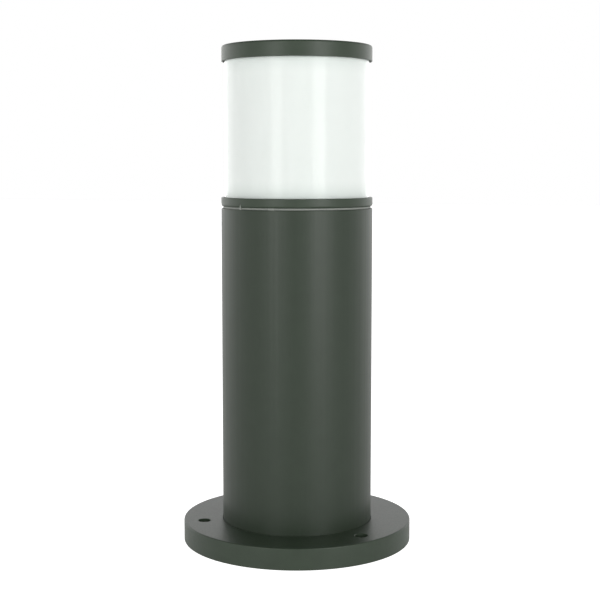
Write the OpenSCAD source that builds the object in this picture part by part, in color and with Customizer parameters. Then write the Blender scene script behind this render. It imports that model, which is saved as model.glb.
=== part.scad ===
// Low bollard light: cast base plate, extruded post, lamp carrier, opal lens and cast cap.
// Millimetres, +Z up. The origin is the centre of the face that stands on the ground.

/* [Overall] */
// Outer diameter of the extruded post
post_d = 91; // [78:0.5:120]
// Height of the post that shows above the base plate
post_h = 190; // [155:1:700]
// Height of the lens that shows between the ring and the cap
lens_h = 80.4; // [66:0.1:140]

/* [Base plate] */
// How far the base plate stands out past the post
flange_overhang = 24; // [20:0.5:40]
// Height of the base plate
flange_h = 13; // [11:0.5:20]
// Thickness of the base plate's top wall
plate_t = 4.5; // [4:0.1:6]
// Thickness of the base plate's outer rim
rim_t = 5; // [3:0.1:7]
// Radius on the base plate's top edge
flange_edge_r = 0.8; // [0.3:0.1:2]
// Diameter of the ground fixing holes
bolt_hole_d = 7.5; // [5:0.1:10]
// Diameter of the bosses round the fixing holes
bolt_boss_d = 16; // [13:0.5:18]
// Number of ribs under the base plate
rib_count = 15; // [9:3:18]
// Thickness of those ribs
rib_t = 3; // [2:0.1:4]
// Depth of the seat that takes the post's end
seat_depth = 3; // [2:0.1:3.4]
// Height of the spigot that centres the post
spigot_h = 6; // [4:0.5:10]
// Diameter of the cable that enters from the ground
cable_d = 10; // [6:0.1:14]

/* [Post] */
// Wall thickness of the post
post_wall = 2.5; // [2:0.1:3.5]
// Distance from the post's bore in to the centre of a screw port
port_inset = 8; // [7:0.1:10]
// Wall thickness of a screw port
port_wall = 1.85; // [1.2:0.05:2.2]
// Thread diameter of the screws that go into the ports
port_screw_d = 5; // [4:0.1:5]
// Thickness of the seal under the post
base_seal_t = 1; // [0.8:0.1:1.5]

/* [Lamp carrier] */
// Height of the groove between the post and the ring
groove_h = 1.2; // [0.8:0.1:2]
// How far the seal in that groove stands back from the post's face
groove_depth = 1.1; // [0.6:0.1:1.5]
// Height of the painted ring
ring_h = 5.4; // [4.8:0.1:8]
// Radius on the ring's lower edge
ring_edge_r = 1.3; // [0.5:0.1:1.4]
// Thickness of the ring's lip outside the lens
ring_lip = 1.9; // [1.5:0.1:3]
// Thickness of the carrier's web
web_t = 3; // [2.5:0.1:4]
// Thickness of the seal under the lens
lower_seal_t = 1; // [0.8:0.1:1.4]
// Across flats of the tie rods
rod_af = 7; // [6.5:0.1:8]
// Thread diameter of the tie rods and cap screws
rod_screw_d = 4; // [3:0.1:4.2]

/* [Lens and cap] */
// Wall thickness of the lens
lens_wall = 2.75; // [2:0.05:3.5]
// Height of the cap
cap_h = 9.2; // [9:0.1:14]
// How far the cap's side stands back from the post's face
cap_step = 0.5; // [0:0.1:0.8]
// Thickness of the cap's top
cap_top_t = 3; // [2.5:0.1:3.5]
// Thickness of the cap's skirt at its lower edge
cap_skirt_t = 1; // [0.8:0.05:1.1]
// Radius on the cap's top edge
cap_edge_r = 1.3; // [0.5:0.1:2.5]
// Thickness of the seal above the lens
upper_seal_t = 1.2; // [0.8:0.1:1.6]

/* [Lamp] */
// Diameter of the lamp's globe
globe_d = 45; // [40:0.5:50]
// Diameter of the lamp's screw cap
screw_cap_d = 26.2; // [26:0.05:26.4]

/* [Hidden] */
$fn = 64;

// Colours
paint = "#49514a";
steel = "#b9bcbe";
brass = "#c9a85a";
dark_rubber = "#26282a";
pale_rubber = "#c4c8c2";
opal = "#eef1ef";
porcelain = "#e9e6dd";
nylon = "#dcdcd6";

// Clearances
spigot_gap = 0.2;       // spigot in the post's bore
seat_gap = 0.15;        // post's face in its seat
pass_gap = 0.25;        // screw through a clear hole
thread_gap = 0.05;      // screw in a tapped hole
slide_gap = 0.1;        // cap screw in a tie rod, which it leaves
lens_gap = 0.35;        // lens in the carrier's ring
lens_play = 0.6;        // lens bore round what centres it
port_gap = 0.8;         // round a screw port that passes a spigot
seal_margin = 0.4;      // seal past the port that it covers
lamp_gap = 0.25;        // lamp's screw cap in its shell

// Radii
post_r = post_d / 2;
bore_r = post_r - post_wall;
spigot_r = bore_r - spigot_gap;
spigot_wall = 2.4;
seat_ring_t = 3;        // past the post's wall, inside and out
flange_r = post_r + flange_overhang;
bolt_r = post_r + flange_overhang / 2;
rim_r = flange_r - rim_t;
rim_edge_r = 0.4;
port_r = bore_r - port_inset;
port_hole_r = port_screw_d / 2 + thread_gap;
port_out_r = port_hole_r + port_wall;
port_web = 3;
port_slot = 2.4;
base_seal_inset = 0.3;
lens_r = post_r - ring_lip - lens_gap;
lens_in_r = lens_r - lens_wall;
web_r = lens_in_r - lens_play;
cap_r = post_r - cap_step;
grommet_hole_r = cable_d / 2 + 8;
grommet_r = grommet_hole_r + 3;
hub_r = grommet_r + 2;
hub_t = 3;
globe_r = globe_d / 2;
thread_r = screw_cap_d / 2;
shell_in_r = thread_r + lamp_gap;
shell_t = 0.7;
holder_bore_r = shell_in_r + shell_t + 0.3;
holder_neck_r = holder_bore_r + 2.6;
holder_rim_r = holder_bore_r + 4;
holder_base_r = holder_bore_r + 5;
web_hole_r = holder_base_r + 2;

// Heights, from the ground up
z_plate = flange_h - plate_t;
z_rib = 3;
z_hub = 2.4;
z_seat_ring = 5;
z_boss = 4;
z_seat = flange_h - seat_depth;
z_post0 = z_seat + base_seal_t;
z_post1 = flange_h + post_h;
z_ring0 = z_post1 + groove_h;
z_ring1 = z_ring0 + ring_h;
z_web = z_ring0 + web_t;
z_lens_seat = z_ring0 + web_t / 2;
z_lens0 = z_lens_seat + lower_seal_t;
z_cap0 = z_ring1 + lens_h;
z_cap1 = z_cap0 + cap_h;
z_cap_in = z_cap1 - cap_top_t;
cap_land = 1;
z_cap_seat = z_cap_in - cap_land;
z_lens1 = z_cap_seat - upper_seal_t;
rod_gap = 0.4;
cap_boss_h = 5.8;
cap_skirt_h = 2.5;
cap_skirt_edge_r = 0.25;
cap_guide_t = 1.3;
cap_guide_h = 4.2;
cap_boss_r = 5;
z_cap_boss = z_cap_in - cap_boss_h;
z_rod1 = z_cap_boss - rod_gap;
rod_bore_depth = 18;
carrier_spigot_h = 8;

// Directions round the axis
bolt_angle = 90;        // first fixing hole, first tie rod
port_angle = 30;        // first screw port
tab_angle = 242.4;      // key of the groove seal

// Screw heads
port_head_r = 4.6;
port_head_h = 3.2;
port_boss_r = 7;
port_socket_af = 3;
port_screw_l = 22;
cap_head_r = 3.5;
cap_head_h = 3.8;
cap_bore_r = 3.9;
cap_bore_depth = 4.6;
cap_seal_t = 0.6;
cap_screw_l = 20;
cap_socket_af = 3;
cap_socket_depth = 2.2;
nut_af = 7;
nut_h = 3.2;
small_screw_r = 1.5;
small_head_r = 2.8;
small_head_h = 2;
middle_screw_r = 2;
middle_head_r = 3.8;
middle_head_h = 2.6;

// Groove seal's key
tab_w = 0.9;
tab_h = 1.8;
tab_stand = 0.25;

// Cable grommet
grommet_lip_t = 2;
grommet_cone = [cable_d / 2 + 5, cable_d / 2 + 1.5];
grommet_cone_h = 7;

// Gear tray
sheet_t = 1.5;
tray_w = 44;
tray_y = 8;
tray_h = 82;
tray_foot = 24;
tray_lip = 5.5;
tray_lip_z = 8;
tray_notch_h = 10;
tray_screw_x = 14;
tray_screw_y = 24;
tray_boss_r = 4.5;
tray_screw_l = 8;

// Cord clamp on the tray
clamp_z = 30;
clamp_h = 12;
clamp_foot_t = 3;
clamp_foot_over = 3.5;
clamp_screw_x = 10.5;
clamp_wall = 2.5;
clamp_cable_r = 4;
clamp_screw_l = 8;

// Terminal block on the tray
pole_pitch = 11;
block_w = 32;
block_d = 15;
block_h = 18;
block_z = 58;
pole_y = 1;
cavity_w = 5.6;
clamp_w = 5.2;
clamp_l = 14;
wire_bore_r = 1.7;
pole_screw_r = 1.25;
pole_head_r = 1.9;
pole_screw_z = [5.5, 12];
pole_screw_l = 3.2;
pole_screw_out = 2.2;
pole_head_h = 1.6;
block_screw_head_r = 2.1;
block_screw_head_h = 1.6;
block_sink = 6;
block_floor = 2;
block_entry_r = 2.2;
z_block1 = block_z + block_h;
z_clamp1 = block_z + block_floor + clamp_l;

// Lampholder and its bracket
holder_h = 46;
z_holder1 = z_ring0 + 1.3;
z_holder0 = z_holder1 - holder_h;
holder_base_h = 9.5;
holder_rim_h = 5.5;
z_shell_floor = z_holder1 - 28.5;
shell_h = 27;
bracket_w = 22;
bracket_x = holder_base_r + 4.5;
bracket_foot = 13;
bracket_hole_r = 7.5;
bracket_screw_x = bracket_x + 7;
bracket_screw_l = sheet_t + 2.4;
holder_screw_x = 11.5;
holder_wire_x = 6;
holder_wire_h = 6;
holder_screw_h = 9;
holder_screw_l = sheet_t + 8;
tongue_t = 0.5;
tongue_w = 5;
lug_t = 0.8;
lug_r = 3.6;
lug_barrel_x = 2;
lug_barrel_r = 2;

// Lamp
z_lamp0 = z_holder1 - 25.5;
contact_h = 1.6;
insulator_h = 2.4;
z_lamp_cap0 = z_lamp0 + contact_h + insulator_h;
z_housing = z_holder1 + 0.5;
z_housing1 = z_housing + 20.2;
z_globe = z_housing + 34;
globe_t = 1.2;
globe_seat = 0.7;
housing_r = 14.5;
board_t = 1.5;
board_r = 15.4;
led_w = 2.8;
led_h = 0.7;
led_circle_r = 9;
insulator_r = 8.9;
contact_r = 4.6;
lamp_cap_t = 0.6;
lamp_cap_taper = 3;

// Wires, each a route of points and one radius
wire_r = 1.3;
wire_sides = 8;
z_earth = z_holder0 + 15;
live_route = [[-11, 1, z_clamp1 - 2], [-11, 1, z_block1 + 6], [-9, 0, z_block1 + 22],
    [-6, -3, z_block1 + 42], [-4, -3, z_holder0 - 40], [-5, -1, z_holder0 - 18],
    [-6, 0, z_holder0 - 6], [-6, 0, z_holder0 + 4]];
neutral_route = [[0, 1, z_clamp1 - 2], [0, 1, z_block1 + 6], [1, 2, z_block1 + 20],
    [3, 3, z_block1 + 42], [3, 2, z_holder0 - 40], [5, 1, z_holder0 - 18],
    [6, 0, z_holder0 - 6], [6, 0, z_holder0 + 4]];
earth_route = [[11, 1, z_clamp1 - 2], [11, 1, z_block1 + 6], [13, 0, z_block1 + 20],
    [20, 0, z_block1 + 40], [bracket_x + 3, 0, z_holder0 - 40],
    [bracket_x + 2.5, 0, z_holder0 - 18], [bracket_x + 2, 0, z_holder0 - 4],
    [bracket_x + 2, 0, z_holder0 + 3]];

// ---- Helpers ----

// Shapes that are joined or cut run a little way into each other.

module three(start) {
    for (i = [0 : 2])
        rotate(start + i * 120)
            children();
}

// Half section of a ring, with rounds on its two outer edges
module ring_2d(r_in, r_out, z0, z1, low = 0, top = 0) {
    difference() {
        translate([r_in, z0])
            square([r_out - r_in, z1 - z0]);
        if (low > 0)
            difference() {
                translate([r_out - low, z0 - 1])
                    square([low + 1, low + 1]);
                translate([r_out - low, z0 + low])
                    circle(r = low);
            }
        if (top > 0)
            difference() {
                translate([r_out - top, z1 - top])
                    square([top + 1, top + 1]);
                translate([r_out - top, z1 - top])
                    circle(r = top);
            }
    }
}

module ring(r_in, r_out, z0, z1) {
    rotate_extrude()
        ring_2d(r_in, r_out, z0, z1);
}

// Upright hole or peg with its lower end at z0
module peg(r, z0, z1) {
    translate([0, 0, z0])
        cylinder(r = r, h = z1 - z0);
}

module hexagon(af, z0, z1) {
    translate([0, 0, z0])
        cylinder(r = af / 2 / cos(30), h = z1 - z0, $fn = 6);
}

// Screw with a cross recess: its head stands on z = 0 and its shank points down
module pan_screw(r, length, head_r, head_h) {
    edge = head_h * 0.4;
    slot = head_r * 0.28;
    difference() {
        union() {
            rotate_extrude()
                ring_2d(0, head_r, 0, head_h, 0, edge);
            peg(r, -length, 0.01);
        }
        for (turn = [0, 90])
            rotate(turn)
                translate([-head_r * 0.6, -slot / 2, head_h * 0.45])
                    cube([head_r * 1.2, slot, head_h]);
    }
}

// Countersunk screw with a hexagon socket: the head's face is at z = 0
module flush_screw(r, length, head_r, socket_af) {
    difference() {
        union() {
            translate([0, 0, -(head_r - r)])
                cylinder(r1 = r, r2 = head_r, h = head_r - r);
            peg(r, -length, -(head_r - r) + 0.01);
        }
        hexagon(socket_af, -(head_r - r) * 0.8, 1);
    }
}

// Outline of the post's screw ports, grown on every side
module ports_2d(grow) {
    three(port_angle) {
        translate([port_r, 0])
            circle(r = port_out_r + grow);
        translate([port_r, -port_web / 2 - grow])
            square([bore_r - port_r + 0.5, port_web + 2 * grow]);
    }
}

// Seal for an end of the post, with an ear over each port
module end_seal_2d(r_out) {
    difference() {
        union() {
            difference() {
                circle(r = r_out);
                circle(r = spigot_r + 0.1);
            }
            ports_2d(seal_margin);
        }
        three(port_angle)
            translate([port_r, 0])
                circle(r = port_screw_d / 2 + pass_gap + 0.05);
    }
}

// Smooth curve through a route's points, and a round tube along it
function held(p, i) = p[max(0, min(len(p) - 1, i))];
function between(p, i, t) =
    0.5 * (2 * held(p, i) + t * (held(p, i + 1) - held(p, i - 1))
    + t * t * (2 * held(p, i - 1) - 5 * held(p, i) + 4 * held(p, i + 1) - held(p, i + 2))
    + t * t * t * (3 * held(p, i) - held(p, i - 1) - 3 * held(p, i + 1) + held(p, i + 2)));
function smooth(p, steps) = concat(
    [for (i = [0 : len(p) - 2]) for (s = [0 : steps - 1]) between(p, i, s / steps)],
    [p[len(p) - 1]]);
function unit(v) = v / norm(v);
function heading(p, i) = unit(held(p, i + 1) - held(p, i - 1));

module tube_along(route, r, sides) {
    path = smooth(route, 3);
    rings = len(path);
    points = [for (i = [0 : rings - 1])
        let (t = heading(path, i), side = unit(cross([0, 1, 0], t)), up = cross(t, side))
        for (k = [0 : sides - 1])
            path[i] + r * (cos(360 * k / sides) * side + sin(360 * k / sides) * up)];
    walls = [for (i = [0 : rings - 2]) for (k = [0 : sides - 1])
        [(i + 1) * sides + k, (i + 1) * sides + (k + 1) % sides,
         i * sides + (k + 1) % sides, i * sides + k]];
    foot = [for (k = [0 : sides - 1]) k];
    top = [for (k = [sides - 1 : -1 : 0]) (rings - 1) * sides + k];
    polyhedron(points = points, faces = concat([foot], walls, [top]), convexity = 8);
}

// ---- Base ----

module base_flange() {
    color(paint)
    difference() {
        union() {
            rotate_extrude()
                ring_2d(grommet_hole_r, flange_r, z_plate, flange_h, 0, flange_edge_r);
            rotate_extrude()
                ring_2d(rim_r, flange_r, 0, z_plate + 1, rim_edge_r, 0);
            ring(bore_r - seat_ring_t, post_r + seat_ring_t, z_seat_ring, z_plate + 1);
            ring(hub_r, hub_r + hub_t, z_hub, z_plate + 1);
            ring(spigot_r - spigot_wall, spigot_r, flange_h - 1, flange_h + spigot_h);
            for (i = [0 : rib_count - 1])
                rotate(bolt_angle + i * 360 / rib_count)
                    translate([hub_r + 1, -rib_t / 2, z_rib])
                        cube([rim_r - hub_r, rib_t, z_plate + 1 - z_rib]);
            three(bolt_angle)
                translate([bolt_r, 0, 0])
                    peg(bolt_boss_d / 2, 0, z_plate + 1);
            three(port_angle)
                translate([port_r, 0, 0])
                    peg(port_boss_r, z_boss, z_plate + 1);
            for (x = [-tray_screw_x, tray_screw_x])
                translate([x, tray_screw_y, 0])
                    peg(tray_boss_r, z_boss, z_plate + 1);
        }
        ring(spigot_r, post_r + seat_gap, z_seat, flange_h + 1);
        translate([0, 0, z_seat])
            linear_extrude(spigot_h + seat_depth + 1)
                ports_2d(port_gap);
        three(bolt_angle)
            translate([bolt_r, 0, 0])
                peg(bolt_hole_d / 2, -1, flange_h + 1);
        three(port_angle)
            translate([port_r, 0, 0]) {
                peg(port_screw_d / 2 + pass_gap, z_boss - 1, z_seat + 1);
                translate([0, 0, z_boss])
                    cylinder(r1 = port_head_r + 0.1, r2 = port_screw_d / 2 + 0.1,
                        h = port_head_r - port_screw_d / 2);
            }
        for (x = [-tray_screw_x, tray_screw_x])
            translate([x, tray_screw_y, 0])
                peg(middle_screw_r + thread_gap, z_boss + 1, flange_h + 1);
    }
}

module base_seal() {
    color(dark_rubber)
    translate([0, 0, z_seat])
        linear_extrude(base_seal_t)
            end_seal_2d(post_r - base_seal_inset);
}

// Extruded tube with three open screw ports along its whole length
module post_tube() {
    color(paint)
    difference() {
        union() {
            rotate_extrude()
                ring_2d(bore_r, post_r, z_post0, z_post1, 0, 0.3);
            translate([0, 0, z_post0])
                linear_extrude(z_post1 - z_post0)
                    ports_2d(0);
        }
        three(port_angle)
            translate([port_r, 0, 0]) {
                peg(port_hole_r, z_post0 - 1, z_post1 + 1);
                translate([-port_out_r - 1, -port_slot / 2, z_post0 - 1])
                    cube([port_out_r, port_slot, z_post1 - z_post0 + 2]);
            }
    }
}

module flange_screws() {
    color(steel)
    three(port_angle)
        translate([port_r, 0, z_boss])
            mirror([0, 0, 1])
                flush_screw(port_screw_d / 2, port_screw_l, port_head_r, port_socket_af);
}

module cable_grommet() {
    color(dark_rubber)
    difference() {
        union() {
            peg(grommet_r, z_plate - grommet_lip_t, z_plate);
            peg(grommet_hole_r - thread_gap, z_plate - 0.5, flange_h + 0.5);
            peg(grommet_r, flange_h, flange_h + grommet_lip_t);
            translate([0, 0, flange_h + grommet_lip_t - 0.5])
                cylinder(r1 = grommet_cone[0], r2 = grommet_cone[1], h = grommet_cone_h);
        }
        peg(cable_d / 2, z_plate - 3, flange_h + 10);
    }
}

// ---- Gear inside the post ----

module gear_tray() {
    color(steel)
    difference() {
        union() {
            translate([-tray_w / 2, tray_y, flange_h])
                cube([tray_w, sheet_t, tray_h]);
            translate([-tray_w / 2, tray_y, flange_h])
                cube([tray_w, tray_foot, sheet_t]);
            for (x = [-tray_w / 2, tray_w / 2 - sheet_t])
                translate([x, tray_y, flange_h + tray_lip_z])
                    cube([sheet_t, tray_lip, tray_h - tray_lip_z]);
        }
        for (x = [-tray_screw_x, tray_screw_x])
            translate([x, tray_screw_y, flange_h - 1])
                cylinder(r = middle_screw_r + pass_gap, h = sheet_t + 2);
        for (x = [-clamp_screw_x, clamp_screw_x])
            translate([x, tray_y - 1, clamp_z + clamp_h / 2])
                rotate([-90, 0, 0])
                    cylinder(r = small_screw_r + thread_gap, h = sheet_t + 2);
        for (x = [-pole_pitch / 2, pole_pitch / 2])
            translate([x, tray_y - 1, block_z + block_h / 2])
                rotate([-90, 0, 0])
                    cylinder(r = small_screw_r + thread_gap, h = sheet_t + 2);
        // Notch round the grommet that the cable comes up through
        peg(grommet_r + 1, flange_h - 1, flange_h + tray_notch_h);
    }
}

module gear_tray_screws() {
    color(steel)
    for (x = [-tray_screw_x, tray_screw_x])
        translate([x, tray_screw_y, flange_h + sheet_t])
            pan_screw(middle_screw_r, tray_screw_l, middle_head_r, middle_head_h);
}

module cord_clamp() {
    cable_y = tray_y - clamp_cable_r;
    foot_x = clamp_screw_x + clamp_foot_over;
    color(nylon)
    difference() {
        union() {
            translate([-foot_x, tray_y - clamp_foot_t, clamp_z])
                cube([2 * foot_x, clamp_foot_t, clamp_h]);
            translate([0, cable_y, clamp_z])
                cylinder(r = clamp_cable_r + clamp_wall, h = clamp_h);
        }
        translate([0, cable_y, clamp_z - 1])
            cylinder(r = clamp_cable_r, h = clamp_h + 2);
        translate([-clamp_cable_r, cable_y, clamp_z - 1])
            cube([2 * clamp_cable_r, clamp_cable_r + 1, clamp_h + 2]);
        translate([-foot_x, tray_y, clamp_z - 1])
            cube([2 * foot_x, clamp_cable_r, clamp_h + 2]);
        for (x = [-clamp_screw_x, clamp_screw_x])
            translate([x, tray_y - clamp_foot_t - 1, clamp_z + clamp_h / 2])
                rotate([-90, 0, 0])
                    cylinder(r = small_screw_r + 0.1, h = clamp_foot_t + 2);
    }
}

module cord_clamp_screws() {
    color(steel)
    for (x = [-clamp_screw_x, clamp_screw_x])
        translate([x, tray_y - clamp_foot_t, clamp_z + clamp_h / 2])
            rotate([90, 0, 0])
                pan_screw(small_screw_r, clamp_screw_l, small_head_r, small_head_h);
}

module at_poles() {
    for (i = [-1 : 1])
        translate([i * pole_pitch, pole_y, block_z])
            children();
}

module terminal_block() {
    color(nylon)
    difference() {
        translate([-block_w / 2, tray_y - block_d, block_z])
            cube([block_w, block_d, block_h]);
        at_poles() {
            translate([-cavity_w / 2, -cavity_w / 2, block_floor - 0.2])
                cube([cavity_w, cavity_w, clamp_l + 0.4]);
            translate([0, 0, -1])
                cylinder(r = block_entry_r, h = block_h + 2);
            for (z = pole_screw_z)
                translate([0, 0, z])
                    rotate([90, 0, 0])
                        cylinder(r = pole_head_r + 0.2, h = block_d);
        }
        for (x = [-pole_pitch / 2, pole_pitch / 2])
            translate([x, tray_y, block_z + block_h / 2])
                rotate([90, 0, 0]) {
                    translate([0, 0, -1])
                        cylinder(r = small_screw_r + 0.1, h = block_d + 2);
                    translate([0, 0, block_d - block_sink])
                        cylinder(r = block_screw_head_r + 0.1, h = block_sink + 1);
                }
    }
}

module terminal_clamps() {
    color(brass)
    at_poles()
        difference() {
            translate([-clamp_w / 2, -clamp_w / 2, block_floor])
                cube([clamp_w, clamp_w, clamp_l]);
            translate([0, 0, 1])
                cylinder(r = wire_bore_r, h = clamp_l + 2);
            for (z = pole_screw_z)
                translate([0, 0, z])
                    rotate([90, 0, 0])
                        cylinder(r = pole_screw_r + thread_gap, h = clamp_w);
        }
}

module terminal_screws() {
    color(steel)
    at_poles()
        for (z = pole_screw_z)
            translate([0, -clamp_w / 2 - pole_screw_out, z])
                rotate([90, 0, 0])
                    difference() {
                        union() {
                            peg(pole_screw_r, -pole_screw_l, 0.5);
                            peg(pole_head_r, 0, pole_head_h);
                        }
                        translate([-pole_head_r, -0.3, pole_head_h / 2])
                            cube([2 * pole_head_r, 0.6, 2]);
                    }
}

module terminal_block_screws() {
    color(steel)
    for (x = [-pole_pitch / 2, pole_pitch / 2])
        translate([x, tray_y - block_d + block_sink, block_z + block_h / 2])
            rotate([90, 0, 0])
                pan_screw(small_screw_r, block_d - block_sink + 4,
                    block_screw_head_r, block_screw_head_h);
}

module wire_live() {
    color("#7a4a2b")
    tube_along(live_route, wire_r, wire_sides);
}

module wire_neutral() {
    color("#3565a8")
    tube_along(neutral_route, wire_r, wire_sides);
}

module wire_earth() {
    color("#6f9a35")
    tube_along(earth_route, wire_r, wire_sides);
}

// Ring terminal on the bracket's leg, with its barrel pointing down
module earth_lug() {
    color(steel)
    difference() {
        union() {
            translate([bracket_x, 0, z_earth])
                rotate([0, 90, 0])
                    cylinder(r = lug_r, h = lug_t);
            translate([bracket_x, -2, z_holder0 + 6])
                cube([lug_t, 4, z_earth - z_holder0 - 6]);
            translate([bracket_x + lug_barrel_x, 0, z_holder0 - 1])
                cylinder(r = lug_barrel_r, h = 8.5);
        }
        translate([bracket_x - 1, 0, z_earth])
            rotate([0, 90, 0])
                cylinder(r = small_screw_r + 0.1, h = 4);
        translate([bracket_x + lug_barrel_x, 0, z_holder0 - 2])
            cylinder(r = wire_r + 0.1, h = 7);
        translate([bracket_x - 2, -3, z_holder0 - 2])
            cube([2, 6, 20]);
    }
}

module earth_screw() {
    color(brass)
    translate([bracket_x + lug_t, 0, z_earth])
        rotate([0, 90, 0])
            pan_screw(small_screw_r, 5, small_head_r, small_head_h);
}

// ---- Lamp carrier ----

module lamp_carrier() {
    color(paint)
    difference() {
        union() {
            rotate_extrude()
                difference() {
                    ring_2d(web_hole_r, post_r, z_ring0, z_ring1, ring_edge_r, 0.5);
                    translate([web_hole_r - 1, z_web])
                        square([web_r - web_hole_r + 1.01, ring_h]);
                    translate([web_r, z_lens_seat])
                        square([lens_r + lens_gap - web_r, ring_h]);
                }
            ring(spigot_r - spigot_wall, spigot_r, z_ring0 - carrier_spigot_h, z_ring0 + 0.5);
        }
        translate([0, 0, z_ring0 - carrier_spigot_h - 1])
            linear_extrude(carrier_spigot_h + 1)
                ports_2d(port_gap);
        three(port_angle)
            translate([port_r, 0, 0])
                peg(port_screw_d / 2 + pass_gap, z_ring0 - 1, z_web + 1);
        three(bolt_angle)
            translate([port_r, 0, 0])
                peg(rod_screw_d / 2 + thread_gap, z_ring0 - 1, z_web + 1);
        for (x = [-bracket_screw_x, bracket_screw_x])
            translate([x, 0, 0])
                peg(middle_screw_r + thread_gap, z_ring0 - 1, z_web - 0.4);
        rotate(tab_angle)
            translate([post_r - groove_depth - 0.4, -tab_w / 2 - 0.1, z_ring0 - 1])
                cube([3, tab_w + 0.2, tab_h + 1.1]);
    }
}

module carrier_gasket() {
    color(pale_rubber) {
        translate([0, 0, z_post1])
            linear_extrude(groove_h)
                end_seal_2d(post_r - groove_depth);
        rotate(tab_angle)
            translate([post_r - groove_depth - 0.3, -tab_w / 2, z_post1])
                cube([groove_depth + 0.3 - tab_stand, tab_w, groove_h + tab_h]);
    }
}

module carrier_screws() {
    color(steel)
    three(port_angle)
        translate([port_r, 0, z_web])
            pan_screw(port_screw_d / 2, port_screw_l, port_head_r, port_head_h);
}

module tie_rods() {
    color(steel)
    three(bolt_angle)
        translate([port_r, 0, 0])
            difference() {
                union() {
                    hexagon(rod_af, z_web, z_rod1);
                    peg(rod_screw_d / 2, z_ring0 - nut_h - 1, z_web + 0.5);
                }
                peg(rod_screw_d / 2 + slide_gap, z_rod1 - rod_bore_depth, z_rod1 + 1);
            }
}

module tie_rod_nuts() {
    color(steel)
    three(bolt_angle)
        translate([port_r, 0, 0])
            difference() {
                hexagon(nut_af, z_ring0 - nut_h, z_ring0);
                peg(rod_screw_d / 2 + thread_gap, z_ring0 - 5, z_ring0 + 1);
            }
}

// ---- Lampholder ----

module lampholder_bracket() {
    color(steel)
    difference() {
        union() {
            translate([-bracket_x, -bracket_w / 2, z_holder0 - sheet_t])
                cube([2 * bracket_x, bracket_w, sheet_t]);
            for (side = [0, 1])
                mirror([side, 0, 0]) {
                    translate([bracket_x - sheet_t, -bracket_w / 2, z_holder0 - sheet_t])
                        cube([sheet_t, bracket_w, z_ring0 - z_holder0 + sheet_t]);
                    translate([bracket_x - sheet_t, -bracket_w / 2, z_ring0 - sheet_t])
                        cube([bracket_foot + sheet_t, bracket_w, sheet_t]);
                }
        }
        translate([0, 0, z_holder0 - sheet_t - 1])
            cylinder(r = bracket_hole_r, h = sheet_t + 2);
        for (x = [-holder_screw_x, holder_screw_x])
            translate([x, 0, z_holder0 - sheet_t - 1])
                cylinder(r = small_screw_r + 0.1, h = sheet_t + 2);
        for (x = [-bracket_screw_x, bracket_screw_x])
            translate([x, 0, z_ring0 - sheet_t - 1])
                cylinder(r = middle_screw_r + 0.1, h = sheet_t + 2);
        translate([bracket_x - sheet_t - 1, 0, z_earth])
            rotate([0, 90, 0])
                cylinder(r = small_screw_r + thread_gap, h = sheet_t + 2);
    }
}

module bracket_screws() {
    color(steel)
    for (x = [-bracket_screw_x, bracket_screw_x])
        translate([x, 0, z_ring0 - sheet_t])
            mirror([0, 0, 1])
                pan_screw(middle_screw_r, bracket_screw_l, middle_head_r, middle_head_h);
}

module lampholder_body() {
    color(porcelain)
    difference() {
        rotate_extrude()
            union() {
                ring_2d(0, holder_base_r, z_holder0, z_holder0 + holder_base_h, 0.8, 1.2);
                ring_2d(0, holder_neck_r, z_holder0 + 2, z_holder1 - 1);
                ring_2d(0, holder_rim_r, z_holder1 - holder_rim_h, z_holder1, 1, 1);
            }
        peg(holder_bore_r, z_shell_floor, z_holder1 + 1);
        for (x = [-holder_wire_x, holder_wire_x])
            translate([x, 0, 0])
                peg(wire_r + pass_gap, z_holder0 - 1, z_holder0 + holder_wire_h);
        for (x = [-holder_screw_x, holder_screw_x])
            translate([x, 0, 0])
                peg(small_screw_r + thread_gap, z_holder0 - 1, z_holder0 + holder_screw_h);
    }
}

module lampholder_shell() {
    color(brass)
    ring(shell_in_r, shell_in_r + shell_t, z_shell_floor, z_shell_floor + shell_h);
}

// Spring tongue that reaches up to the lamp's centre contact
module lampholder_contact() {
    reach = z_lamp0 - z_shell_floor - 0.05;
    color(brass)
    translate([0, tongue_w / 2, z_shell_floor])
        rotate([90, 0, 0])
            linear_extrude(tongue_w)
                polygon([[-9, 0], [-3, 0], [1, reach - tongue_t], [4, reach - tongue_t],
                    [4, reach], [0.8, reach], [-3.2, tongue_t], [-9, tongue_t]]);
}

module lampholder_screws() {
    color(steel)
    for (x = [-holder_screw_x, holder_screw_x])
        translate([x, 0, z_holder0 - sheet_t])
            mirror([0, 0, 1])
                pan_screw(small_screw_r, holder_screw_l, small_head_r, small_head_h);
}

// ---- Lens and cap ----

module lower_lens_seal() {
    color(dark_rubber)
    ring(web_r + 0.3, lens_r, z_lens_seat, z_lens0);
}

module diffuser() {
    color(opal)
    ring(lens_in_r, lens_r, z_lens0, z_lens1);
}

module upper_lens_seal() {
    color(dark_rubber)
    ring(lens_in_r - 0.2, lens_r, z_lens1, z_cap_seat);
}

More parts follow.
